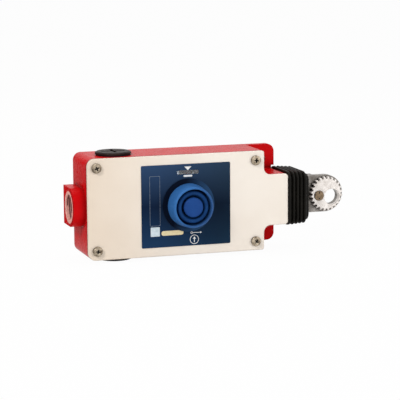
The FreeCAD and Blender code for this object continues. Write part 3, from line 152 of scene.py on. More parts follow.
def spinProfile(name, outline, axis, centre, steps):
    # a closed outline is drawn point by point from one corner and spun once round
    clearSelection()
    bpy.ops.mesh.primitive_plane_add(size=mm, location=outline[0])
    piece = bpy.context.object
    piece.name = name
    settle(piece)
    bpy.ops.object.mode_set(mode="EDIT")
    bpy.ops.mesh.select_mode(type="VERT")
    bpy.ops.mesh.select_all(action="SELECT")
    bpy.ops.mesh.merge(type="CENTER")
    for before, after in zip(outline, outline[1:] + outline[:1]):
        bpy.ops.mesh.extrude_vertices_move(TRANSFORM_OT_translate={"value": after - before})
    bpy.ops.mesh.select_all(action="SELECT")
    bpy.ops.mesh.remove_doubles(threshold=closeTo["same"])
    bpy.ops.mesh.select_all(action="SELECT")
    bpy.ops.mesh.spin(steps=steps, angle=2 * math.pi, center=centre, axis=axis)
    bpy.ops.object.mode_set(mode="OBJECT")
    closeUp(piece)
    return piece


def softenPiece(piece, width, segments, degrees):
    bevel = piece.modifiers.new("edgeRound", "BEVEL")
    bevel.width = width * mm
    bevel.segments = segments
    bevel.limit_method = "ANGLE"
    bevel.angle_limit = math.radians(degrees)
    applyAll(piece)


# materials

def startMaterial(name):
    material = bpy.data.materials.new(name)
    material.use_nodes = True
    return material, material.node_tree, material.node_tree.nodes["Principled BSDF"]


def objectSpace(tree, stretch=(1, 1, 1), shift=(0, 0, 0)):
    where = tree.nodes.new("ShaderNodeTexCoord")
    mapping = tree.nodes.new("ShaderNodeMapping")
    mapping.inputs["Scale"].default_value = stretch
    mapping.inputs["Location"].default_value = shift
    tree.links.new(where.outputs["Object"], mapping.inputs["Vector"])
    return mapping.outputs["Vector"]


def noiseField(tree, scale, detail=4.0, stretch=(1, 1, 1)):
    noise = tree.nodes.new("ShaderNodeTexNoise")
    noise.inputs["Scale"].default_value = scale
    noise.inputs["Detail"].default_value = detail
    tree.links.new(objectSpace(tree, stretch), noise.inputs["Vector"])
    return noise.outputs[0]


def colourRamp(tree, value, stops):
    ramp = tree.nodes.new("ShaderNodeValToRGB")
    while len(ramp.color_ramp.elements) < len(stops):
        ramp.color_ramp.elements.new(0.5)
    for element, (position, colour) in zip(ramp.color_ramp.elements, stops):
        element.position = position
        element.color = (*colour, 1)
    tree.links.new(value, ramp.inputs["Fac"])
    return ramp.outputs["Color"]


def remap(tree, value, low, high, fromLow=0.3, fromHigh=0.7):
    span = tree.nodes.new("ShaderNodeMapRange")
    span.inputs["From Min"].default_value = fromLow
    span.inputs["From Max"].default_value = fromHigh
    span.inputs["To Min"].default_value = low
    span.inputs["To Max"].default_value = high
    tree.links.new(value, span.inputs["Value"])
    return span.outputs["Result"]


def edgeNormal(tree, radius):
    # rounds the look of sharp edges, as a casting or a moulding has them
    bevel = tree.nodes.new("ShaderNodeBevel")
    bevel.samples = 6
    bevel.inputs["Radius"].default_value = radius * mm
    return bevel.outputs["Normal"]


def edgeMask(tree, radius, low, high):
    # 1 along convex and concave edges, 0 on open faces
    geometry = tree.nodes.new("ShaderNodeNewGeometry")
    dot = tree.nodes.new("ShaderNodeVectorMath")
    dot.operation = "DOT_PRODUCT"
    tree.links.new(edgeNormal(tree, radius), dot.inputs[0])
    tree.links.new(geometry.outputs["Normal"], dot.inputs[1])
    return remap(tree, dot.outputs["Value"], 1.0, 0.0, low, high)


def bumpStack(tree, shader, layers, base=None):
    # layers are (scale, detail, height in mm) and, on brushed metal, the stretch
    normal = base
    for scale, detail, height, *stretch in layers:
        bump = tree.nodes.new("ShaderNodeBump")
        bump.inputs["Strength"].default_value = 1.0
        bump.inputs["Distance"].default_value = height * mm
        tree.links.new(noiseField(tree, scale, detail, *stretch), bump.inputs["Height"])
        if normal is not None:
            tree.links.new(normal, bump.inputs["Normal"])
        normal = bump.outputs["Normal"]
    if normal is not None:
        tree.links.new(normal, shader.inputs["Normal"])


def below(tree, value, limit):
    # 1 where the value is under the limit
    check = tree.nodes.new("ShaderNodeMath")
    check.operation = "LESS_THAN"
    check.inputs[1].default_value = limit
    tree.links.new(value, check.inputs[0])
    return check.outputs[0]


def combine(tree, operation, first, second):
    both = tree.nodes.new("ShaderNodeMath")
    both.operation = operation
    tree.links.new(first, both.inputs[0])
    tree.links.new(second, both.inputs[1])
    return both.outputs[0]


def scaled(tree, value, factor):
    share = tree.nodes.new("ShaderNodeMath")
    share.operation = "MULTIPLY"
    share.inputs[1].default_value = factor
    tree.links.new(value, share.inputs[0])
    return share.outputs[0]


def coverColour(tree, colour, amount, top):
    # a plain colour laid over another by a mask
    mix = tree.nodes.new("ShaderNodeMixRGB")
    tree.links.new(amount, mix.inputs["Fac"])
    tree.links.new(colour, mix.inputs["Color1"])
    mix.inputs["Color2"].default_value = (*top, 1)
    return mix.outputs["Color"]


def multiplyColour(tree, colour, factor):
    mix = tree.nodes.new("ShaderNodeMixRGB")
    mix.blend_type = "MULTIPLY"
    mix.inputs["Fac"].default_value = 1.0
    tree.links.new(colour, mix.inputs["Color1"])
    tree.links.new(factor, mix.inputs["Color2"])
    return mix.outputs["Color"]


def fadeAlong(tree, fade):
    # a slow change of colour along one direction of the object, ends in mm
    reach = tree.nodes.new("ShaderNodeVectorMath")
    reach.operation = "DOT_PRODUCT"
    reach.inputs[1].default_value = fade["along"]
    tree.links.new(objectSpace(tree), reach.inputs[0])
    level = remap(tree, reach.outputs["Value"], 0.0, 1.0, fade["from"] * mm, fade["to"] * mm)
    return colourRamp(tree, level, fade["stops"])


# levels that all surfaces share: patches of colour, worn edges, grit in the wear, painted shade in crevices
# and roughness
surfaceLevels = {"patchDetail": 5, "patchLow": 0.3, "patchHigh": 0.7, "wornFrom": 0.72, "wornTo": 0.97,
                 "gritScale": 900, "gritDetail": 6, "gritFrom": 0.48, "gritTo": 0.6, "creviceSamples": 8,
                 "deep": 0.25, "open": 0.88, "roughScale": 260, "roughDetail": 4}


def wornEdges(tree, colour, look):
    levels = surfaceLevels
    mask = edgeMask(tree, look["edge"], levels["wornFrom"], levels["wornTo"])
    noise = noiseField(tree, levels["gritScale"], levels["gritDetail"])
    grit = remap(tree, noise, 0.0, 1.0, levels["gritFrom"], levels["gritTo"])
    amount = scaled(tree, combine(tree, "MULTIPLY", mask, grit), look["wearAmount"])
    return coverColour(tree, colour, amount, look["wear"])


def paintCreviceShade(tree, colour, look):
    # ambient occlusion darkens hollows, recesses and joints in the colour itself: painted shade
    shade = tree.nodes.new("ShaderNodeAmbientOcclusion")
    shade.samples = surfaceLevels["creviceSamples"]
    shade.inputs["Distance"].default_value = look["crevice"] * mm
    deep = look.get("deep", surfaceLevels["deep"])
    depth = remap(tree, shade.outputs["AO"], look["creviceTone"], 1.0, deep, surfaceLevels["open"])
    return multiplyColour(tree, colour, depth)


def surfaceMaterial(name, look):
    levels = surfaceLevels
    material, tree, shader = startMaterial(name)
    stretch = look.get("stretch", (1, 1, 1))
    patch = noiseField(tree, look["patchScale"], levels["patchDetail"], stretch)
    colour = colourRamp(tree, patch, [(levels["patchLow"], look["dark"]),
                                      (levels["patchHigh"], look["light"])])
    if "wear" in look:
        colour = wornEdges(tree, colour, look)
    # painted shade in hollows and joints
    if "crevice" in look:
        colour = paintCreviceShade(tree, colour, look)
    if "fade" in look:
        colour = multiplyColour(tree, colour, fadeAlong(tree, look["fade"]))
    tree.links.new(colour, shader.inputs["Base Color"])
    noise = noiseField(tree, levels["roughScale"], levels["roughDetail"], stretch)
    tree.links.new(remap(tree, noise, look["smooth"], look["rough"]), shader.inputs["Roughness"])
    shader.inputs["Metallic"].default_value = look.get("metallic", 0.0)
    shader.inputs["Specular IOR Level"].default_value = look.get("specular", 0.5)
    base = edgeNormal(tree, look["edge"]) if "edge" in look else None
    bumpStack(tree, shader, look["bumps"], base)
    return material


print("stage: materials")

redCoatLook = {"dark": (0.55, 0.003, 0.005), "light": (0.66, 0.005, 0.007), "patchScale": 60, "smooth": 0.24,
               "rough": 0.32, "specular": 0.03, "edge": 0.6, "wear": (0.74, 0.05, 0.05), "wearAmount": 0.3,
               # the crevice setting paints shade into the notches and the corners at the entry boss
               "crevice": 5.0, "creviceTone": 0.35,
               # the fade darkens the rim next to the cover: a painted shade line along the cover's edge
               "fade": {"along": (0, -1, 0), "from": 35.5, "to": 39.5,
                        "stops": [(0.0, (1, 1, 1)), (1.0, (0.6, 0.75, 0.75))]},
               "bumps": [(1500, 3, 0.012), (220, 2, 0.03)]}
coverLacquerLook = {"dark": (0.90, 0.815, 0.72), "light": (0.945, 0.87, 0.78), "patchScale": 30,
                    "smooth": 0.4, "rough": 0.54, "specular": 0.12, "edge": 0.55, "wear": (0.96, 0.93, 0.89),
                    "wearAmount": 0.8, "bumps": [(1800, 3, 0.006)],
                    # the fade, darker and yellower towards the left end, is painted shade across the cover
                    "fade": {"along": (1, 0, 0), "from": -79.0, "to": 0.0,
                             "stops": [(0.0, (0.91, 0.85, 0.78)), (1.0, (1, 1, 1))]}}
castZincLook = {"dark": (0.14, 0.125, 0.11), "light": (0.36, 0.335, 0.31), "patchScale": 230, "smooth": 0.34,
                "rough": 0.58, "metallic": 0.5, "edge": 0.35, "wear": (0.85, 0.82, 0.78), "wearAmount": 0.75,
                # the crevice setting darkens the tooth gaps: painted shade over the dark oxide the casting
                # has there
                "crevice": 2.6, "creviceTone": 0.03, "deep": 0.4,
                "bumps": [(900, 5, 0.02), (300, 3, 0.05)]}
turnedZincLook = {"dark": (0.58, 0.53, 0.49), "light": (0.88, 0.83, 0.79), "patchScale": 280, "smooth": 0.3,
                  "rough": 0.5, "metallic": 0.4, "edge": 0.25, "wear": (0.97, 0.95, 0.92), "wearAmount": 0.7,
                  "crevice": 1.4, "creviceTone": 0.16, "deep": 0.4, "bumps": [(1400, 4, 0.008)]}
platedSteelLook = {"dark": (0.50, 0.50, 0.49), "light": (0.68, 0.68, 0.66), "patchScale": 300, "smooth": 0.22,
                   "rough": 0.40, "metallic": 0.9, "edge": 0.2, "bumps": [(1600, 4, 0.006)]}
screwHeadLook = {"dark": (0.09, 0.06, 0.035), "light": (0.56, 0.47, 0.35), "patchScale": 620, "smooth": 0.26,
                 "rough": 0.46, "metallic": 0.7, "edge": 0.25, "wear": (0.92, 0.87, 0.80), "wearAmount": 0.6,
                 "crevice": 1.8, "creviceTone": 0.01, "deep": 0.6, "bumps": [(1600, 4, 0.008)]}
groundSteelLook = {"dark": (0.52, 0.52, 0.53), "light": (0.66, 0.66, 0.67), "patchScale": 200, "smooth": 0.15,
                   "rough": 0.30, "metallic": 1.0, "stretch": (0.15, 1, 1), "edge": 0.2,
                   "bumps": [(2600, 3, 0.004, (0.08, 1, 1))]}
springWireLook = {"dark": (0.28, 0.28, 0.30), "light": (0.42, 0.42, 0.44), "patchScale": 500, "smooth": 0.25,
                  "rough": 0.42, "metallic": 1.0, "bumps": [(2200, 3, 0.004)]}
brassLook = {"dark": (0.08, 0.05, 0.03), "light": (0.27, 0.19, 0.11), "patchScale": 460, "smooth": 0.3,
             "rough": 0.5, "metallic": 0.6, "edge": 0.15, "crevice": 1.2, "creviceTone": 0.01, "deep": 0.55,
             "bumps": [(1500, 4, 0.008)]}
bellowsRubberLook = {"dark": (0.003, 0.0025, 0.002), "light": (0.011, 0.0095, 0.0075), "patchScale": 90,
                     "smooth": 0.4, "rough": 0.6, "specular": 0.08,
                     "bumps": [(2400, 4, 0.01), (260, 3, 0.03)]}
sealRingLook = {"dark": (0.016, 0.050, 0.120), "light": (0.024, 0.068, 0.150), "patchScale": 120,
                "smooth": 0.5, "rough": 0.7, "specular": 0.05, "bumps": [(2600, 4, 0.008)],
                # the fade darkens the ring's left and upper side almost to black: a painted shadow of the
                # button
                "fade": {"along": (0.95, 0, -0.3), "from": -20.0, "to": 8.0,
                         "stops": [(0.25, (0.07, 0.07, 0.10)), (0.8, (1, 1, 1))]}}
sealRubberLook = {"dark": (0.003, 0.004, 0.009), "light": (0.006, 0.007, 0.014), "patchScale": 120,
                  "smooth": 0.5, "rough": 0.7, "specular": 0.12, "bumps": [(2600, 4, 0.008)]}
plugPlasticLook = {"dark": (0.016, 0.010, 0.009), "light": (0.036, 0.026, 0.023), "patchScale": 110,
                   "smooth": 0.36, "rough": 0.5, "specular": 0.05, "edge": 0.4, "wear": (0.14, 0.11, 0.10),
                   "wearAmount": 0.6, "crevice": 1.5, "creviceTone": 0.2, "bumps": [(2800, 3, 0.006)]}
bezelBlueLook = {"dark": (0.032, 0.135, 0.375), "light": (0.042, 0.170, 0.450), "patchScale": 80,
                 "smooth": 0.38, "rough": 0.52, "specular": 0.08, "edge": 0.35,
                 "wear": (0.06, 0.22, 0.50), "wearAmount": 0.35, "bumps": [(3000, 3, 0.006)],
                 # the fade darkens the bezel towards the right and bottom: painted shade, light from the
                 # upper left
                 "fade": {"along": (0.9, 0, -0.45), "from": -18.0, "to": 9.0,
                          "stops": [(0.0, (1.0, 1.0, 1.0)), (1.0, (0.72, 0.55, 0.58))]}}
buttonBlueLook = {"dark": (0.010, 0.052, 0.215), "light": (0.014, 0.068, 0.260), "patchScale": 80,
                  "smooth": 0.42, "rough": 0.56, "specular": 0.08, "edge": 0.35, "crevice": 2.0,
                  "creviceTone": 0.35, "wear": (0.05, 0.17, 0.44), "wearAmount": 0.35,
                  "bumps": [(3000, 3, 0.006)]}
bootBlueLook = {"dark": (0.005, 0.034, 0.125), "light": (0.009, 0.052, 0.180), "patchScale": 120,
                "smooth": 0.5, "rough": 0.66, "specular": 0.06, "crevice": 2.4, "creviceTone": 0.5,
                "bumps": [(2600, 4, 0.008)]}
greyPlasticLook = {"dark": (0.40, 0.41, 0.42), "light": (0.50, 0.51, 0.52), "patchScale": 100, "smooth": 0.35,
                   "rough": 0.5, "edge": 0.25, "bumps": [(2400, 3, 0.006)]}
pointerGreyLook = {"dark": (0.50, 0.54, 0.62), "light": (0.60, 0.64, 0.72), "patchScale": 120, "smooth": 0.35,
                   "rough": 0.5, "edge": 0.15, "bumps": [(2400, 3, 0.004)]}
faintInkLook = {"dark": (0.10, 0.13, 0.18), "light": (0.30, 0.35, 0.42), "patchScale": 700, "smooth": 0.4,
                "rough": 0.55, "specular": 0.2, "bumps": [(3200, 3, 0.003)]}
whiteInkLook = {"dark": (0.76, 0.76, 0.75), "light": (0.86, 0.86, 0.85), "patchScale": 900, "smooth": 0.4,
                "rough": 0.55, "specular": 0.3, "bumps": [(3200, 3, 0.003)]}
paleInkLook = {"dark": (0.50, 0.60, 0.66), "light": (0.72, 0.80, 0.84), "patchScale": 420, "smooth": 0.4,
               "rough": 0.55, "specular": 0.3, "bumps": [(3200, 3, 0.003)]}
yellowInkLook = {"dark": (0.76, 0.62, 0.34), "light": (0.86, 0.74, 0.46), "patchScale": 700, "smooth": 0.4,
                 "rough": 0.55, "specular": 0.3, "bumps": [(3200, 3, 0.003)]}

redCoat = surfaceMaterial("redCoat", redCoatLook)
coverLacquer = surfaceMaterial("coverLacquer", coverLacquerLook)
castZinc = surfaceMaterial("castZinc", castZincLook)
turnedZinc = surfaceMaterial("turnedZinc", turnedZincLook)
platedSteel = surfaceMaterial("platedSteel", platedSteelLook)
screwZinc = surfaceMaterial("screwZinc", screwHeadLook)
groundSteel = surfaceMaterial("groundSteel", groundSteelLook)
springWire = surfaceMaterial("springWire", springWireLook)
brassTurned = surfaceMaterial("brassTurned", brassLook)
bellowsRubber = surfaceMaterial("bellowsRubber", bellowsRubberLook)
sealRubber = surfaceMaterial("sealRubber", sealRubberLook)
sealRing = surfaceMaterial("sealRing", sealRingLook)
plugPlastic = surfaceMaterial("plugPlastic", plugPlasticLook)
bezelBlue = surfaceMaterial("bezelBlue", bezelBlueLook)
buttonBlue = surfaceMaterial("buttonBlue", buttonBlueLook)
bootBlue = surfaceMaterial("bootBlue", bootBlueLook)
greyPlastic = surfaceMaterial("greyPlastic", greyPlasticLook)
pointerGrey = surfaceMaterial("pointerGrey", pointerGreyLook)
faintInk = surfaceMaterial("faintInk", faintInkLook)
whiteInk = surfaceMaterial("whiteInk", whiteInkLook)
paleInk = surfaceMaterial("paleInk", paleInkLook)
yellowInk = surfaceMaterial("yellowInk", yellowInkLook)


def bareEntry(material):
    # the machined face and the bore of the side entry carry no paint; their pink tint is a painted reflection
    # of the red paint around them
    look = {"axisOut": 22.0, "faceAt": -87.55, "faceRadius": 11.4, "boreTo": -75.6, "boreRadius": 9.4,
            "metal": (0.97, 0.50, 0.43), "metallic": 0.15}
    tree = material.node_tree
    shader = tree.nodes["Principled BSDF"]
    split = tree.nodes.new("ShaderNodeSeparateXYZ")
    tree.links.new(objectSpace(tree), split.inputs["Vector"])
    reach = tree.nodes.new("ShaderNodeVectorMath")
    reach.operation = "LENGTH"
    tree.links.new(objectSpace(tree, (0, 1, 1), (0, look["axisOut"] * mm, 0)), reach.inputs[0])
    distance = reach.outputs["Value"]
    face = combine(tree, "MULTIPLY", below(tree, split.outputs["X"], look["faceAt"] * mm),
                   below(tree, distance, look["faceRadius"] * mm))
    bore = combine(tree, "MULTIPLY", below(tree, split.outputs["X"], look["boreTo"] * mm),
                   below(tree, distance, look["boreRadius"] * mm))
    bare = combine(tree, "MAXIMUM", face, bore)
    paint = shader.inputs["Base Color"].links[0].from_socket
    tree.links.new(coverColour(tree, paint, bare, look["metal"]), shader.inputs["Base Color"])
    tree.links.new(remap(tree, bare, 0.0, look["metallic"], 0.0, 1.0), shader.inputs["Metallic"])


bareEntry(redCoat)
# zinc thread tinted red-brown: a painted reflection of the red bore around it
threadZincLook = {"dark": (0.20, 0.075, 0.07), "light": (0.42, 0.20, 0.18), "patchScale": 400, "smooth": 0.35,
                  "rough": 0.55, "metallic": 0.5, "bumps": [(1800, 3, 0.006)]}
threadZinc = surfaceMaterial("threadZinc", threadZincLook)


def printedFoil():
    # dark blue foil, paler towards its top and bottom edges
    look = {"low": (0.011, 0.039, 0.100), "middle": (0.004, 0.014, 0.042), "high": (0.028, 0.062, 0.138),
            "height": 57.4, "specular": 0.04, "grain": 500, "smooth": 0.10, "rough": 0.16,
            "bumps": [(3000, 3, 0.004), (120, 2, 0.02)],
            # the fade darkens the foil towards the right: painted shade
            "fade": {"along": (1, 0, 0), "from": -30.0, "to": 20.0,
                     "stops": [(0.0, (1, 1, 1)), (1.0, (0.75, 0.72, 0.60))]}}
    material, tree, shader = startMaterial("printedFoil")
    split = tree.nodes.new("ShaderNodeSeparateXYZ")
    tree.links.new(objectSpace(tree), split.inputs["Vector"])
    half = look["height"] / 2 * mm
    level = remap(tree, split.outputs["Z"], 0.0, 1.0, -half, half)
    colour = colourRamp(tree, level, [(0.0, look["low"]), (0.5, look["middle"]), (1.0, look["high"])])
    colour = multiplyColour(tree, colour, fadeAlong(tree, look["fade"]))
    tree.links.new(colour, shader.inputs["Base Color"])
    rough = remap(tree, noiseField(tree, look["grain"]), look["smooth"], look["rough"])
    tree.links.new(rough, shader.inputs["Roughness"])
    shader.inputs["Specular IOR Level"].default_value = look["specular"]
    bumpStack(tree, shader, look["bumps"])
    return material


def clearWindow():
    look = {"dark": (0.86, 0.90, 0.94), "light": (0.92, 0.95, 0.97), "patchScale": 200, "grain": 700,
            "detail": 3, "smooth": 0.06, "rough": 0.12, "seeThrough": 0.9, "bending": 1.2,
            "bumps": [(900, 2, 0.003)]}
    material, tree, shader = startMaterial("clearWindow")
    patch = noiseField(tree, look["patchScale"], look["detail"])
    tint = colourRamp(tree, patch, [(surfaceLevels["patchLow"], look["dark"]),
                                    (surfaceLevels["patchHigh"], look["light"])])
    tree.links.new(tint, shader.inputs["Base Color"])
    rough = remap(tree, noiseField(tree, look["grain"], look["detail"]), look["smooth"], look["rough"])
    tree.links.new(rough, shader.inputs["Roughness"])
    shader.inputs["Transmission Weight"].default_value = look["seeThrough"]
    shader.inputs["IOR"].default_value = look["bending"]
    bumpStack(tree, shader, look["bumps"])
    return material


foilBlue = printedFoil()
windowClear = clearWindow()

nodeFinish = {
    "housing": redCoat, "cover_gasket": sealRubber, "cover_plate": coverLacquer, "front_label": foilBlue,
    "indicator_lens": windowClear, "top_plug": plugPlastic, "bottom_plug": plugPlastic,
    "top_plug_seal": sealRubber, "bottom_plug_seal": sealRubber, "reset_seal": sealRing,
    "reset_bezel": bezelBlue, "reset_nut": turnedZinc, "reset_button": buttonBlue,
    "reset_plunger": plugPlastic,
    "guide_bush": brassTurned, "rod_wiper": sealRubber, "pull_rod": groundSteel, "pull_head": castZinc,
    "head_pin": groundSteel, "eye_disc": turnedZinc, "eye_screw": brassTurned, "spring_seat": platedSteel,
    "spring_collar": platedSteel, "rod_nuts": platedSteel, "contact_cam": greyPlastic,
    "cam_pins": groundSteel,
    "contact_block_upper": plugPlastic, "contact_block_lower": plugPlastic,
    "contact_plunger_upper": greyPlastic, "contact_plunger_lower": greyPlastic,
    "terminal_clamps": brassTurned, "terminal_screws": platedSteel, "block_screws": platedSteel,
    "latch_lever": platedSteel, "latch_bracket": platedSteel, "latch_pin": groundSteel,
    "tension_pointer": pointerGrey, "earth_washer": brassTurned, "earth_screw": platedSteel,
}
for nodeName, material in nodeFinish.items():
    node = caseNodes[nodeName]
    node.data.materials.clear()
    node.data.materials.append(material)


print("stage: bellows")


def makeBellows():
    # a round cornered square tube: lip at the neck, four ribs, then a plain end turned in to the hub
    size = {"start": 68.2, "axisOut": 22.0, "half": 19.4, "corner": 5.4, "edge": 0.4, "lip": 2.2,
            "pitch": 2.9, "crest": 1.5, "taper": 0.2, "ribs": 4, "groove": 17.2, "end": 16.6,
            "length": 16.6, "hub": 8.3,
            "endWall": 1.6, "inside": 14.6, "steps": 8, "soft": 0.22, "smooth": 50,
            "stretchFrom": 70.6, "stretchTo": 83.4}
    edge = size["edge"]
    first = size["half"] - edge
    loops = [(0, first), (edge, size["half"]), (size["lip"] - edge, size["half"]), (size["lip"], first)]
    for rib in range(size["ribs"]):
        crest = size["lip"] + (rib + 1) * size["pitch"] - size["crest"]
        high = size["half"] - rib * size["taper"]
        loops += [(crest - 2 * edge, size["groove"]), (crest - edge, size["groove"]), (crest, high - edge),
                  (crest + edge, high), (crest + size["crest"] - edge, high),
                  (crest + size["crest"], high - edge)]
    close = size["length"] - size["endWall"]
    loops += [(close - edge, size["end"] + edge), (size["length"] - edge, size["end"]),
              (size["length"], size["end"] - edge), (size["length"], size["hub"]), (close, size["hub"]),
              (close, size["inside"]), (0, size["inside"]), (0, first)]
    centre = place(size["start"], 0, size["axisOut"])
    clearSelection()
    bpy.ops.mesh.primitive_plane_add(size=2 * first * mm, location=centre, rotation=(0, math.pi / 2, 0))
    piece = bpy.context.object
    piece.name = "bellowsSkin"
    settle(piece)
    bpy.ops.object.mode_set(mode="EDIT")
    bpy.ops.mesh.select_mode(type="VERT")
    bpy.ops.mesh.select_all(action="SELECT")
    bpy.ops.mesh.bevel(offset=size["corner"] * mm, segments=size["steps"], affect="VERTICES")
    bpy.ops.mesh.select_all(action="SELECT")
    bpy.ops.mesh.delete(type="ONLY_FACE")
    bpy.ops.mesh.select_mode(type="EDGE")
    bpy.ops.mesh.select_all(action="SELECT")
    for (along, half), (nextAlong, nextHalf) in zip(loops, loops[1:]):
        bpy.ops.mesh.extrude_edges_move(TRANSFORM_OT_translate={"value": ((nextAlong - along) * mm, 0, 0)})
        bpy.ops.transform.resize(value=(1, nextHalf / half, nextHalf / half), center_override=centre)
    bpy.ops.object.mode_set(mode="OBJECT")
    closeUp(piece)
    softenPiece(piece, size["soft"], 2, 20)
    smooth(piece, size["smooth"])
    finishPiece(piece, None, bellowsRubber, ["bellows"])
    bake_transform(piece)


makeBellows()


print("stage: reset pushbutton")


def makeBoot():
    # ribbed rubber ring between the bezel and the pad
    size = {"x": -6.5, "seat": 46.0, "soft": 0.2, "smooth": 60, "keep": 0.45,
            "outline": [(12.7, 0.0), (12.75, 1.3), (12.3, 1.7), (11.7, 3.2), (11.3, 5.6), (10.6, 6.3),
                        (9.8, 6.45), (9.0, 6.3), (8.3, 5.4), (7.9, 3.6), (7.3, 3.3), (7.15, 3.0),
                        (7.15, 2.0), (8.4, 2.0),
                        (9.1, 4.9), (9.8, 5.5), (10.5, 4.9), (11.0, 1.2), (11.0, 0.0)], "steps": 96}
    outline = [place(size["x"] + radius, 0, size["seat"] + rise) for radius, rise in size["outline"]]
    piece = spinProfile("resetBoot", outline, (0, 1, 0), place(size["x"], 0, size["seat"]), size["steps"])
    softenPiece(piece, size["soft"], 3, 18)
    smooth(piece, size["smooth"])
    finishPiece(piece, "case", bootBlue, ["reset_boot"])
    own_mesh(piece)


makeBoot()


print("stage: springs")


def makeCoil(name, size, axis):
    # a round wire section screwed along its axis
    detail = {"section": 12, "perTurn": 28, "smooth": 60}
    clearSelection()
    bpy.ops.mesh.primitive_circle_add(vertices=detail["section"], radius=size["wire"] * mm,
                                      location=(size["radius"] * mm, 0, 0), rotation=(math.pi / 2, 0, 0))
    piece = bpy.context.object
    piece.name = name
    settle(piece)
    screw = piece.modifiers.new("coil", "SCREW")
    screw.axis = "Z"
    screw.angle = 2 * math.pi * size["turns"]
    screw.screw_offset = (size["length"] - 2 * size["wire"]) * mm
    screw.steps = int(detail["perTurn"] * size["turns"])
    screw.render_steps = screw.steps
    applyAll(piece)
    bpy.ops.object.mode_set(mode="EDIT")
    bpy.ops.mesh.select_all(action="SELECT")
    bpy.ops.mesh.remove_doubles(threshold=closeTo["same"])
    bpy.ops.mesh.select_all(action="DESELECT")
    bpy.ops.mesh.select_mode(type="EDGE")
    bpy.ops.mesh.select_non_manifold()
    bpy.ops.mesh.edge_face_add()
    bpy.ops.mesh.select_all(action="SELECT")
    bpy.ops.mesh.normals_make_consistent(inside=False)
    bpy.ops.object.mode_set(mode="OBJECT")
    layAlong(piece, size["from"], axis)
    piece.matrix_world = piece.matrix_world @ Matrix.Translation((0, 0, size["wire"] * mm))
    settle(piece)
    smooth(piece, detail["smooth"])
    return piece


def makeSprings():
    along = Vector((1, 0, 0))
    outward = Vector((0, -1, 0))
    upward = Vector((0, 0, 1))
    rodOut = 22.0
    returnSize = {"wire": 0.75, "radius": 7.5, "turns": 6.5, "length": 24.3, "from": place(-42.9, 0, rodOut)}
    coil = makeCoil("returnCoil", returnSize, along)
    finishPiece(coil, "case", springWire, ["return_spring"])
    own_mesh(coil)
    resetSize = {"wire": 0.5, "radius": 5.4, "turns": 3.5, "length": 6.2, "from": place(-6.5, 0, 42.0)}
    coil = makeCoil("resetCoil", resetSize, outward)
    finishPiece(coil, "case", springWire, ["reset_spring"])
    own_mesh(coil)
    contact = {"x": 23, "inner": 21.25, "outer": 25.95, "keep": 0.38}
    for word, side in (("upper", 1), ("lower", -1)):
        size = {"wire": 0.3, "radius": 1.5, "turns": 3.0, "length": 4.6,
                "from": place(contact["x"], contact["inner"] * side, rodOut)}
        coil = makeCoil(word + "ContactCoil", size, upward * side)
        finishPiece(coil, "case", springWire, ["contact_spring_" + word])
        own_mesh(coil)


makeSprings()


print("stage: cover screws")


def onLevel(level):
    # picks the edges that lie flat at one depth
    return lambda centre, run: abs(centre.y - level) < closeTo["same"] and abs(run.y) < closeTo["level"]


def makeScrewHead(size, x, up):
    clearSelection()
    middle = place(x, up, size["seat"] + size["rise"] / 2)
    bpy.ops.mesh.primitive_cylinder_add(vertices=64, radius=size["head"] * mm, depth=size["rise"] * mm,
                                        location=middle, rotation=(math.pi / 2, 0, 0))
    head = bpy.context.object
    settle(head)
    pickEdges(head, onLevel(-(size["seat"] + size["rise"]) * mm))
    bpy.ops.mesh.bevel(offset=size["round"] * mm, segments=6, profile=size["bulge"])
    bpy.ops.object.mode_set(mode="OBJECT")
    return head


def cutBlade(head, size, x, up, turn):
    # one arm of the cross, narrower at its bottom
    clearSelection()
    bpy.ops.mesh.primitive_cube_add(size=1, location=place(x, up, size["seat"] + size["rise"]))
    blade = bpy.context.object
    blade.scale = (size["recess"] * mm, size["depth"] * 2 * mm, size["blade"] * mm)
    blade.rotation_euler = (0, math.radians(turn), 0)
    settle(blade)
    deep = -(size["seat"] + size["rise"] - size["depth"]) * mm
    pickFaces(blade, lambda centre, normal: abs(centre.y - deep) < closeTo["same"])
    bpy.ops.transform.resize(value=(size["narrow"], 1, size["narrow"]), center_override=place(x, up, 0))
    bpy.ops.object.mode_set(mode="OBJECT")
    cut = head.modifiers.new("recess", "BOOLEAN")
    cut.operation = "DIFFERENCE"
    cut.solver = "EXACT"
    cut.object = blade
    applyAll(head)
    keepActive(blade)
    bpy.ops.object.delete()


def makeScrewShank(size, x, up):
    clearSelection()
    middle = place(x, up, size["seat"] - size["shankLength"] / 2)
    bpy.ops.mesh.primitive_cylinder_add(vertices=32, radius=size["shank"] * mm,
                                        depth=size["shankLength"] * mm, location=middle,
                                        rotation=(math.pi / 2, 0, 0))
    shank = bpy.context.object
    settle(shank)
    pickEdges(shank, onLevel(-(size["seat"] - size["shankLength"]) * mm))
    bpy.ops.mesh.bevel(offset=size["tip"] * mm, segments=2)
    bpy.ops.object.mode_set(mode="OBJECT")
    return shank


def makeCoverScrews():
    # raised heads with a tapered cross recess
    size = {"head": 3.5, "rise": 2.15, "round": 1.25, "bulge": 0.55, "recess": 4.4, "blade": 1.25,
            "depth": 1.6, "narrow": 0.45, "seat": 40.5, "shank": 2.0, "shankLength": 13.6, "tip": 0.5,
            "smooth": 32,
            "places": [(-72.5, -29.0), (-72.5, 29.0), (43.5, -29.0), (43.5, 29.0)], "turns": [12, -24, 36, 5]}
    screws = []
    for (x, up), turn in zip(size["places"], size["turns"]):
        head = makeScrewHead(size, x, up)
        for quarter in (0, 90):
            cutBlade(head, size, x, up, quarter + turn)
        screws += [head, makeScrewShank(size, x, up)]
    piece = joinPieces(screws, "coverScrewSet")
    smooth(piece, size["smooth"])
    finishPiece(piece, "case", screwZinc, ["cover_screws"])


makeCoverScrews()


print("stage: label print")


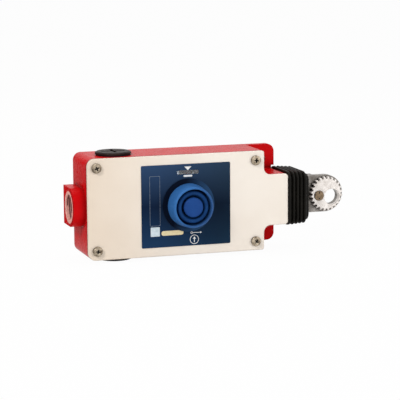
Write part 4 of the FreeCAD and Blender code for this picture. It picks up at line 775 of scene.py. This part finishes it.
inkSize = {"base": 40.9, "thick": 0.06}


def startInk(name, x, up, width, height, steps, radius):
    # a flat shape with round corners, seen from the front, left in edit mode
    clearSelection()
    bpy.ops.mesh.primitive_plane_add(size=1, location=place(x, up, inkSize["base"]),
                                     rotation=(math.pi / 2, 0, 0))
    shape = bpy.context.object
    shape.name = name
    shape.scale = (width * mm, height * mm, 1)
    settle(shape)
    bpy.ops.object.mode_set(mode="EDIT")
    bpy.ops.mesh.select_mode(type="VERT")
    bpy.ops.mesh.select_all(action="SELECT")
    bpy.ops.mesh.bevel(offset=radius * mm, segments=steps, affect="VERTICES")
    return shape


def raiseInk(shape):
    bpy.ops.mesh.select_all(action="SELECT")
    bpy.ops.mesh.extrude_region_move(TRANSFORM_OT_translate={"value": (0, -inkSize["thick"] * mm, 0)})
    bpy.ops.object.mode_set(mode="OBJECT")
    closeUp(shape)
    return shape


def hollowInk(line):
    # only the rim of a flat shape stays
    bpy.ops.mesh.select_mode(type="FACE")
    bpy.ops.mesh.select_all(action="SELECT")
    bpy.ops.mesh.inset(thickness=line * mm)
    bpy.ops.mesh.delete(type="FACE")


def flatBar(name, x, up, width, height, radius):
    return raiseInk(startInk(name, x, up, width, height, 8, radius))


def flatFrame(name, x, up, width, height, line, radius):
    rim = startInk(name, x, up, width, height, 5, radius)
    hollowInk(line)
    return raiseInk(rim)


def flatRing(name, x, up, radius, line):
    clearSelection()
    bpy.ops.mesh.primitive_circle_add(vertices=64, radius=radius * mm, fill_type="NGON",
                                      location=place(x, up, inkSize["base"]), rotation=(math.pi / 2, 0, 0))
    ring = bpy.context.object
    ring.name = name
    settle(ring)
    bpy.ops.object.mode_set(mode="EDIT")
    hollowInk(line)
    return raiseInk(ring)


def flatArrow(name, x, up, width, height, turn=0.0):
    # a solid triangle, point up before it is turned
    spot = place(x, up, inkSize["base"])
    clearSelection()
    bpy.ops.mesh.primitive_circle_add(vertices=3, radius=1, fill_type="NGON", location=spot,
                                      rotation=(math.pi / 2, 0, 0))
    mark = bpy.context.object
    mark.name = name
    mark.scale = (width * mm / math.sqrt(3), height * mm / 1.5, 1)
    settle(mark)
    bpy.ops.object.mode_set(mode="EDIT")
    bpy.ops.mesh.select_all(action="SELECT")
    if turn:
        bpy.ops.transform.rotate(value=-math.radians(turn), orient_axis="Y", center_override=spot)
    return raiseInk(mark)


def makeLabelPrint():
    # blank field at the left, setting marks at the window, a pull sign and a reset sign below the button
    field = {"x": -30.95, "up": 3.9, "width": 7.5, "height": 35.0, "line": 0.2, "radius": 0.6}
    patch = {"x": -30.95, "up": -17.8, "width": 6.6, "height": 6.6, "radius": 0.4}
    stripe = {"x": -18.4, "up": -19.15, "width": 16.0, "height": 3.3, "radius": 1.5}
    settingMark = {"x": -6.8, "up": 26.3, "width": 5.2, "height": 2.6, "turn": 180}
    settingBar = {"x": -6.8, "up": 20.6, "width": 6.4, "height": 1.3, "radius": 0.6}
    pull = {"x": -0.9, "up": -19.9, "length": 5.4, "eyeGap": 0.7, "pointGap": 0.5}
    reset = {"x": -2.4, "up": -24.7, "pointRise": 1.0, "stemDrop": 0.8}
    left = pull["x"] - pull["length"] / 2
    right = pull["x"] + pull["length"] / 2
    whites = [
        flatArrow("settingMark", **settingMark),
        flatBar("settingBar", **settingBar),
        flatRing("ropeEye", left - pull["eyeGap"], pull["up"], radius=0.85, line=0.35),
        flatBar("ropeLine", pull["x"], pull["up"], pull["length"], height=0.42, radius=0.15),
        flatArrow("ropePoint", right + pull["pointGap"], pull["up"], width=1.5, height=1.3, turn=90),
        flatRing("resetRing", reset["x"], reset["up"], radius=3.3, line=0.4),
        flatArrow("resetPoint", reset["x"], reset["up"] + reset["pointRise"], width=2.2, height=1.7),
        flatBar("resetStem", reset["x"], reset["up"] - reset["stemDrop"], width=0.6, height=2.4, radius=0.1),
    ]
    faint = flatFrame("blankField", **field)
    pale = flatBar("blankPatch", **patch)
    yellow = flatBar("pullField", **stripe)
    piece = joinPieces(whites, "whitePrint")
    finishPiece(piece, "case", whiteInk)
    finishPiece(faint, "case", faintInk)
    finishPiece(pale, "case", paleInk)
    finishPiece(yellow, "case", yellowInk)


makeLabelPrint()


print("stage: side entry thread")


def makeEntryThread():
    # a rolled V ridge along the bore of the side entry
    size = {"radius": 9.3, "pitch": 1.5, "ridge": 0.55, "from": -87.5, "length": 11.4, "setBack": 0.3,
            "perTurn": 48, "axisOut": 22, "smooth": 30}
    turns = size["length"] / size["pitch"] - 1
    clearSelection()
    section = (size["radius"] * mm, 0, 0)
    bpy.ops.mesh.primitive_circle_add(vertices=3, radius=size["ridge"] * mm, location=section,
                                      rotation=(math.pi / 2, 0, 0))
    piece = bpy.context.object
    piece.name = "entryThread"
    settle(piece)
    bpy.ops.object.mode_set(mode="EDIT")
    bpy.ops.mesh.select_all(action="SELECT")
    bpy.ops.transform.rotate(value=-math.radians(90), orient_axis="Y", center_override=section)
    bpy.ops.object.mode_set(mode="OBJECT")
    screw = piece.modifiers.new("thread", "SCREW")
    screw.axis = "Z"
    screw.angle = 2 * math.pi * turns
    screw.screw_offset = turns * size["pitch"] * mm
    screw.steps = int(size["perTurn"] * turns)
    screw.render_steps = screw.steps
    applyAll(piece)
    closeUp(piece)
    start = size["from"] + size["ridge"] + size["setBack"]
    layAlong(piece, place(start, 0, size["axisOut"]), Vector((1, 0, 0)))
    settle(piece)
    smooth(piece, size["smooth"])
    finishPiece(piece, "case", threadZinc)


makeEntryThread()


print("stage: studio")


def plainRays(tree):
    # rays that show the white background: camera, gloss and glass
    path = tree.nodes.new("ShaderNodeLightPath")
    bright = combine(tree, "MAXIMUM", path.outputs["Is Camera Ray"], path.outputs["Is Glossy Ray"])
    return combine(tree, "MAXIMUM", bright, path.outputs["Is Transmission Ray"])


def makeFloor():
    look = {"height": -38.25, "size": 40.0, "behind": 8, "tone": (0.86, 0.86, 0.86), "glow": 0.97,
            "rough": 0.9, "specular": 0.1}
    clearSelection()
    bpy.ops.mesh.primitive_grid_add(x_subdivisions=4, y_subdivisions=4, size=look["size"],
                                    location=(0, look["behind"], look["height"] * mm))
    floor = bpy.context.object
    floor.name = "studioFloor"
    material, tree, shader = startMaterial("paleFloor")
    shader.inputs["Base Color"].default_value = (*look["tone"], 1)
    shader.inputs["Roughness"].default_value = look["rough"]
    shader.inputs["Specular IOR Level"].default_value = look["specular"]
    glow = tree.nodes.new("ShaderNodeEmission")
    mix = tree.nodes.new("ShaderNodeMixShader")
    tree.links.new(scaled(tree, plainRays(tree), look["glow"]), mix.inputs["Fac"])
    tree.links.new(shader.outputs["BSDF"], mix.inputs[1])
    tree.links.new(glow.outputs["Emission"], mix.inputs[2])
    tree.links.new(mix.outputs["Shader"], tree.nodes["Material Output"].inputs["Surface"])
    floor.data.materials.append(material)


def makeSideCard():
    # a dark card beside the left end, folded up behind it, seen only in the gloss of the red wall
    look = {"middle": (-0.396, -0.23, -0.0375), "size": 0.6, "rise": 0.5, "tone": (0.01, 0.01, 0.01)}
    clearSelection()
    bpy.ops.mesh.primitive_grid_add(x_subdivisions=2, y_subdivisions=2, size=look["size"],
                                    location=look["middle"])
    card = bpy.context.object
    card.name = "sideCard"
    settle(card)
    back = look["middle"][1] + look["size"] / 2
    pickEdges(card, lambda centre, run: abs(centre.y - back) < mm and abs(run.y) < mm)
    bpy.ops.mesh.extrude_edges_move(TRANSFORM_OT_translate={"value": (0, 0, look["rise"])})
    bpy.ops.object.mode_set(mode="OBJECT")
    material, tree, shader = startMaterial("cardBlack")
    shader.inputs["Base Color"].default_value = (*look["tone"], 1)
    shader.inputs["Specular IOR Level"].default_value = 0.0
    card.data.materials.append(material)
    card.visible_camera = False
    card.visible_diffuse = False
    card.visible_shadow = False


def makeWorld():
    look = {"ambient": 0.34}
    world = bpy.data.worlds.new("studioWorld")
    bpy.context.scene.world = world
    world.use_nodes = True
    tree = world.node_tree
    tree.nodes.clear()
    out = tree.nodes.new("ShaderNodeOutputWorld")
    soft = tree.nodes.new("ShaderNodeBackground")
    white = tree.nodes.new("ShaderNodeBackground")
    mix = tree.nodes.new("ShaderNodeMixShader")
    soft.inputs["Strength"].default_value = look["ambient"]
    soft.inputs["Color"].default_value = (1, 1, 1, 1)
    white.inputs["Strength"].default_value = 1.0
    white.inputs["Color"].default_value = (1, 1, 1, 1)
    tree.links.new(plainRays(tree), mix.inputs["Fac"])
    tree.links.new(soft.outputs["Background"], mix.inputs[1])
    tree.links.new(white.outputs["Background"], mix.inputs[2])
    tree.links.new(mix.outputs["Shader"], out.inputs["Surface"])


def makeLamp(name, spot, target, power, size):
    clearSelection()
    bpy.ops.object.light_add(type="AREA", location=spot)
    lamp = bpy.context.object
    lamp.name = name
    lamp.data.energy = power
    lamp.data.size = size
    lamp.rotation_euler = (Vector(target) - Vector(spot)).to_track_quat("-Z", "Y").to_euler()


def makeLamps():
    target = (0.0, -0.03, 0.0)
    makeLamp("keyLamp", (-1.15, -0.9, 0.95), target, 12.0, 0.4)
    makeLamp("fillLamp", (0.8, -1.0, 0.25), target, 5.5, 0.7)
    makeLamp("topLamp", (-0.1, 0.25, 1.1), target, 5.0, 0.9)


def makeCamera():
    # angles and distance worked out from the straight edges of the case in the photograph
    look = {"spot": (-0.370, -1.1925, 0.199), "yaw": 17.9, "pitch": 9.2, "roll": -0.38, "focal": 1750.0,
            "frame": 400.0, "sensor": 36.0, "farthest": 100}
    yaw = math.radians(look["yaw"])
    pitch = math.radians(look["pitch"])
    roll = math.radians(look["roll"])
    forward = Vector((math.sin(yaw) * math.cos(pitch), math.cos(yaw) * math.cos(pitch), -math.sin(pitch)))
    right = Vector((math.cos(yaw), -math.sin(yaw), 0))
    upward = right.cross(forward)
    side = right * math.cos(roll) + upward * math.sin(roll)
    top = upward * math.cos(roll) - right * math.sin(roll)
    data = bpy.data.cameras.new("photoCamera")
    data.sensor_width = look["sensor"]
    data.sensor_fit = "HORIZONTAL"
    data.lens = look["focal"] / look["frame"] * look["sensor"]
    data.clip_end = look["farthest"]
    camera = bpy.data.objects.new("photoCamera", data)
    bpy.context.scene.collection.objects.link(camera)
    turn = Matrix((side, top, -forward)).transposed()
    camera.matrix_world = Matrix.Translation(look["spot"]) @ turn.to_4x4()
    bpy.context.scene.camera = camera


makeFloor()
makeSideCard()
makeWorld()
makeLamps()
makeCamera()
bpy.context.scene.view_settings.view_transform = "Standard"

clearSelection()
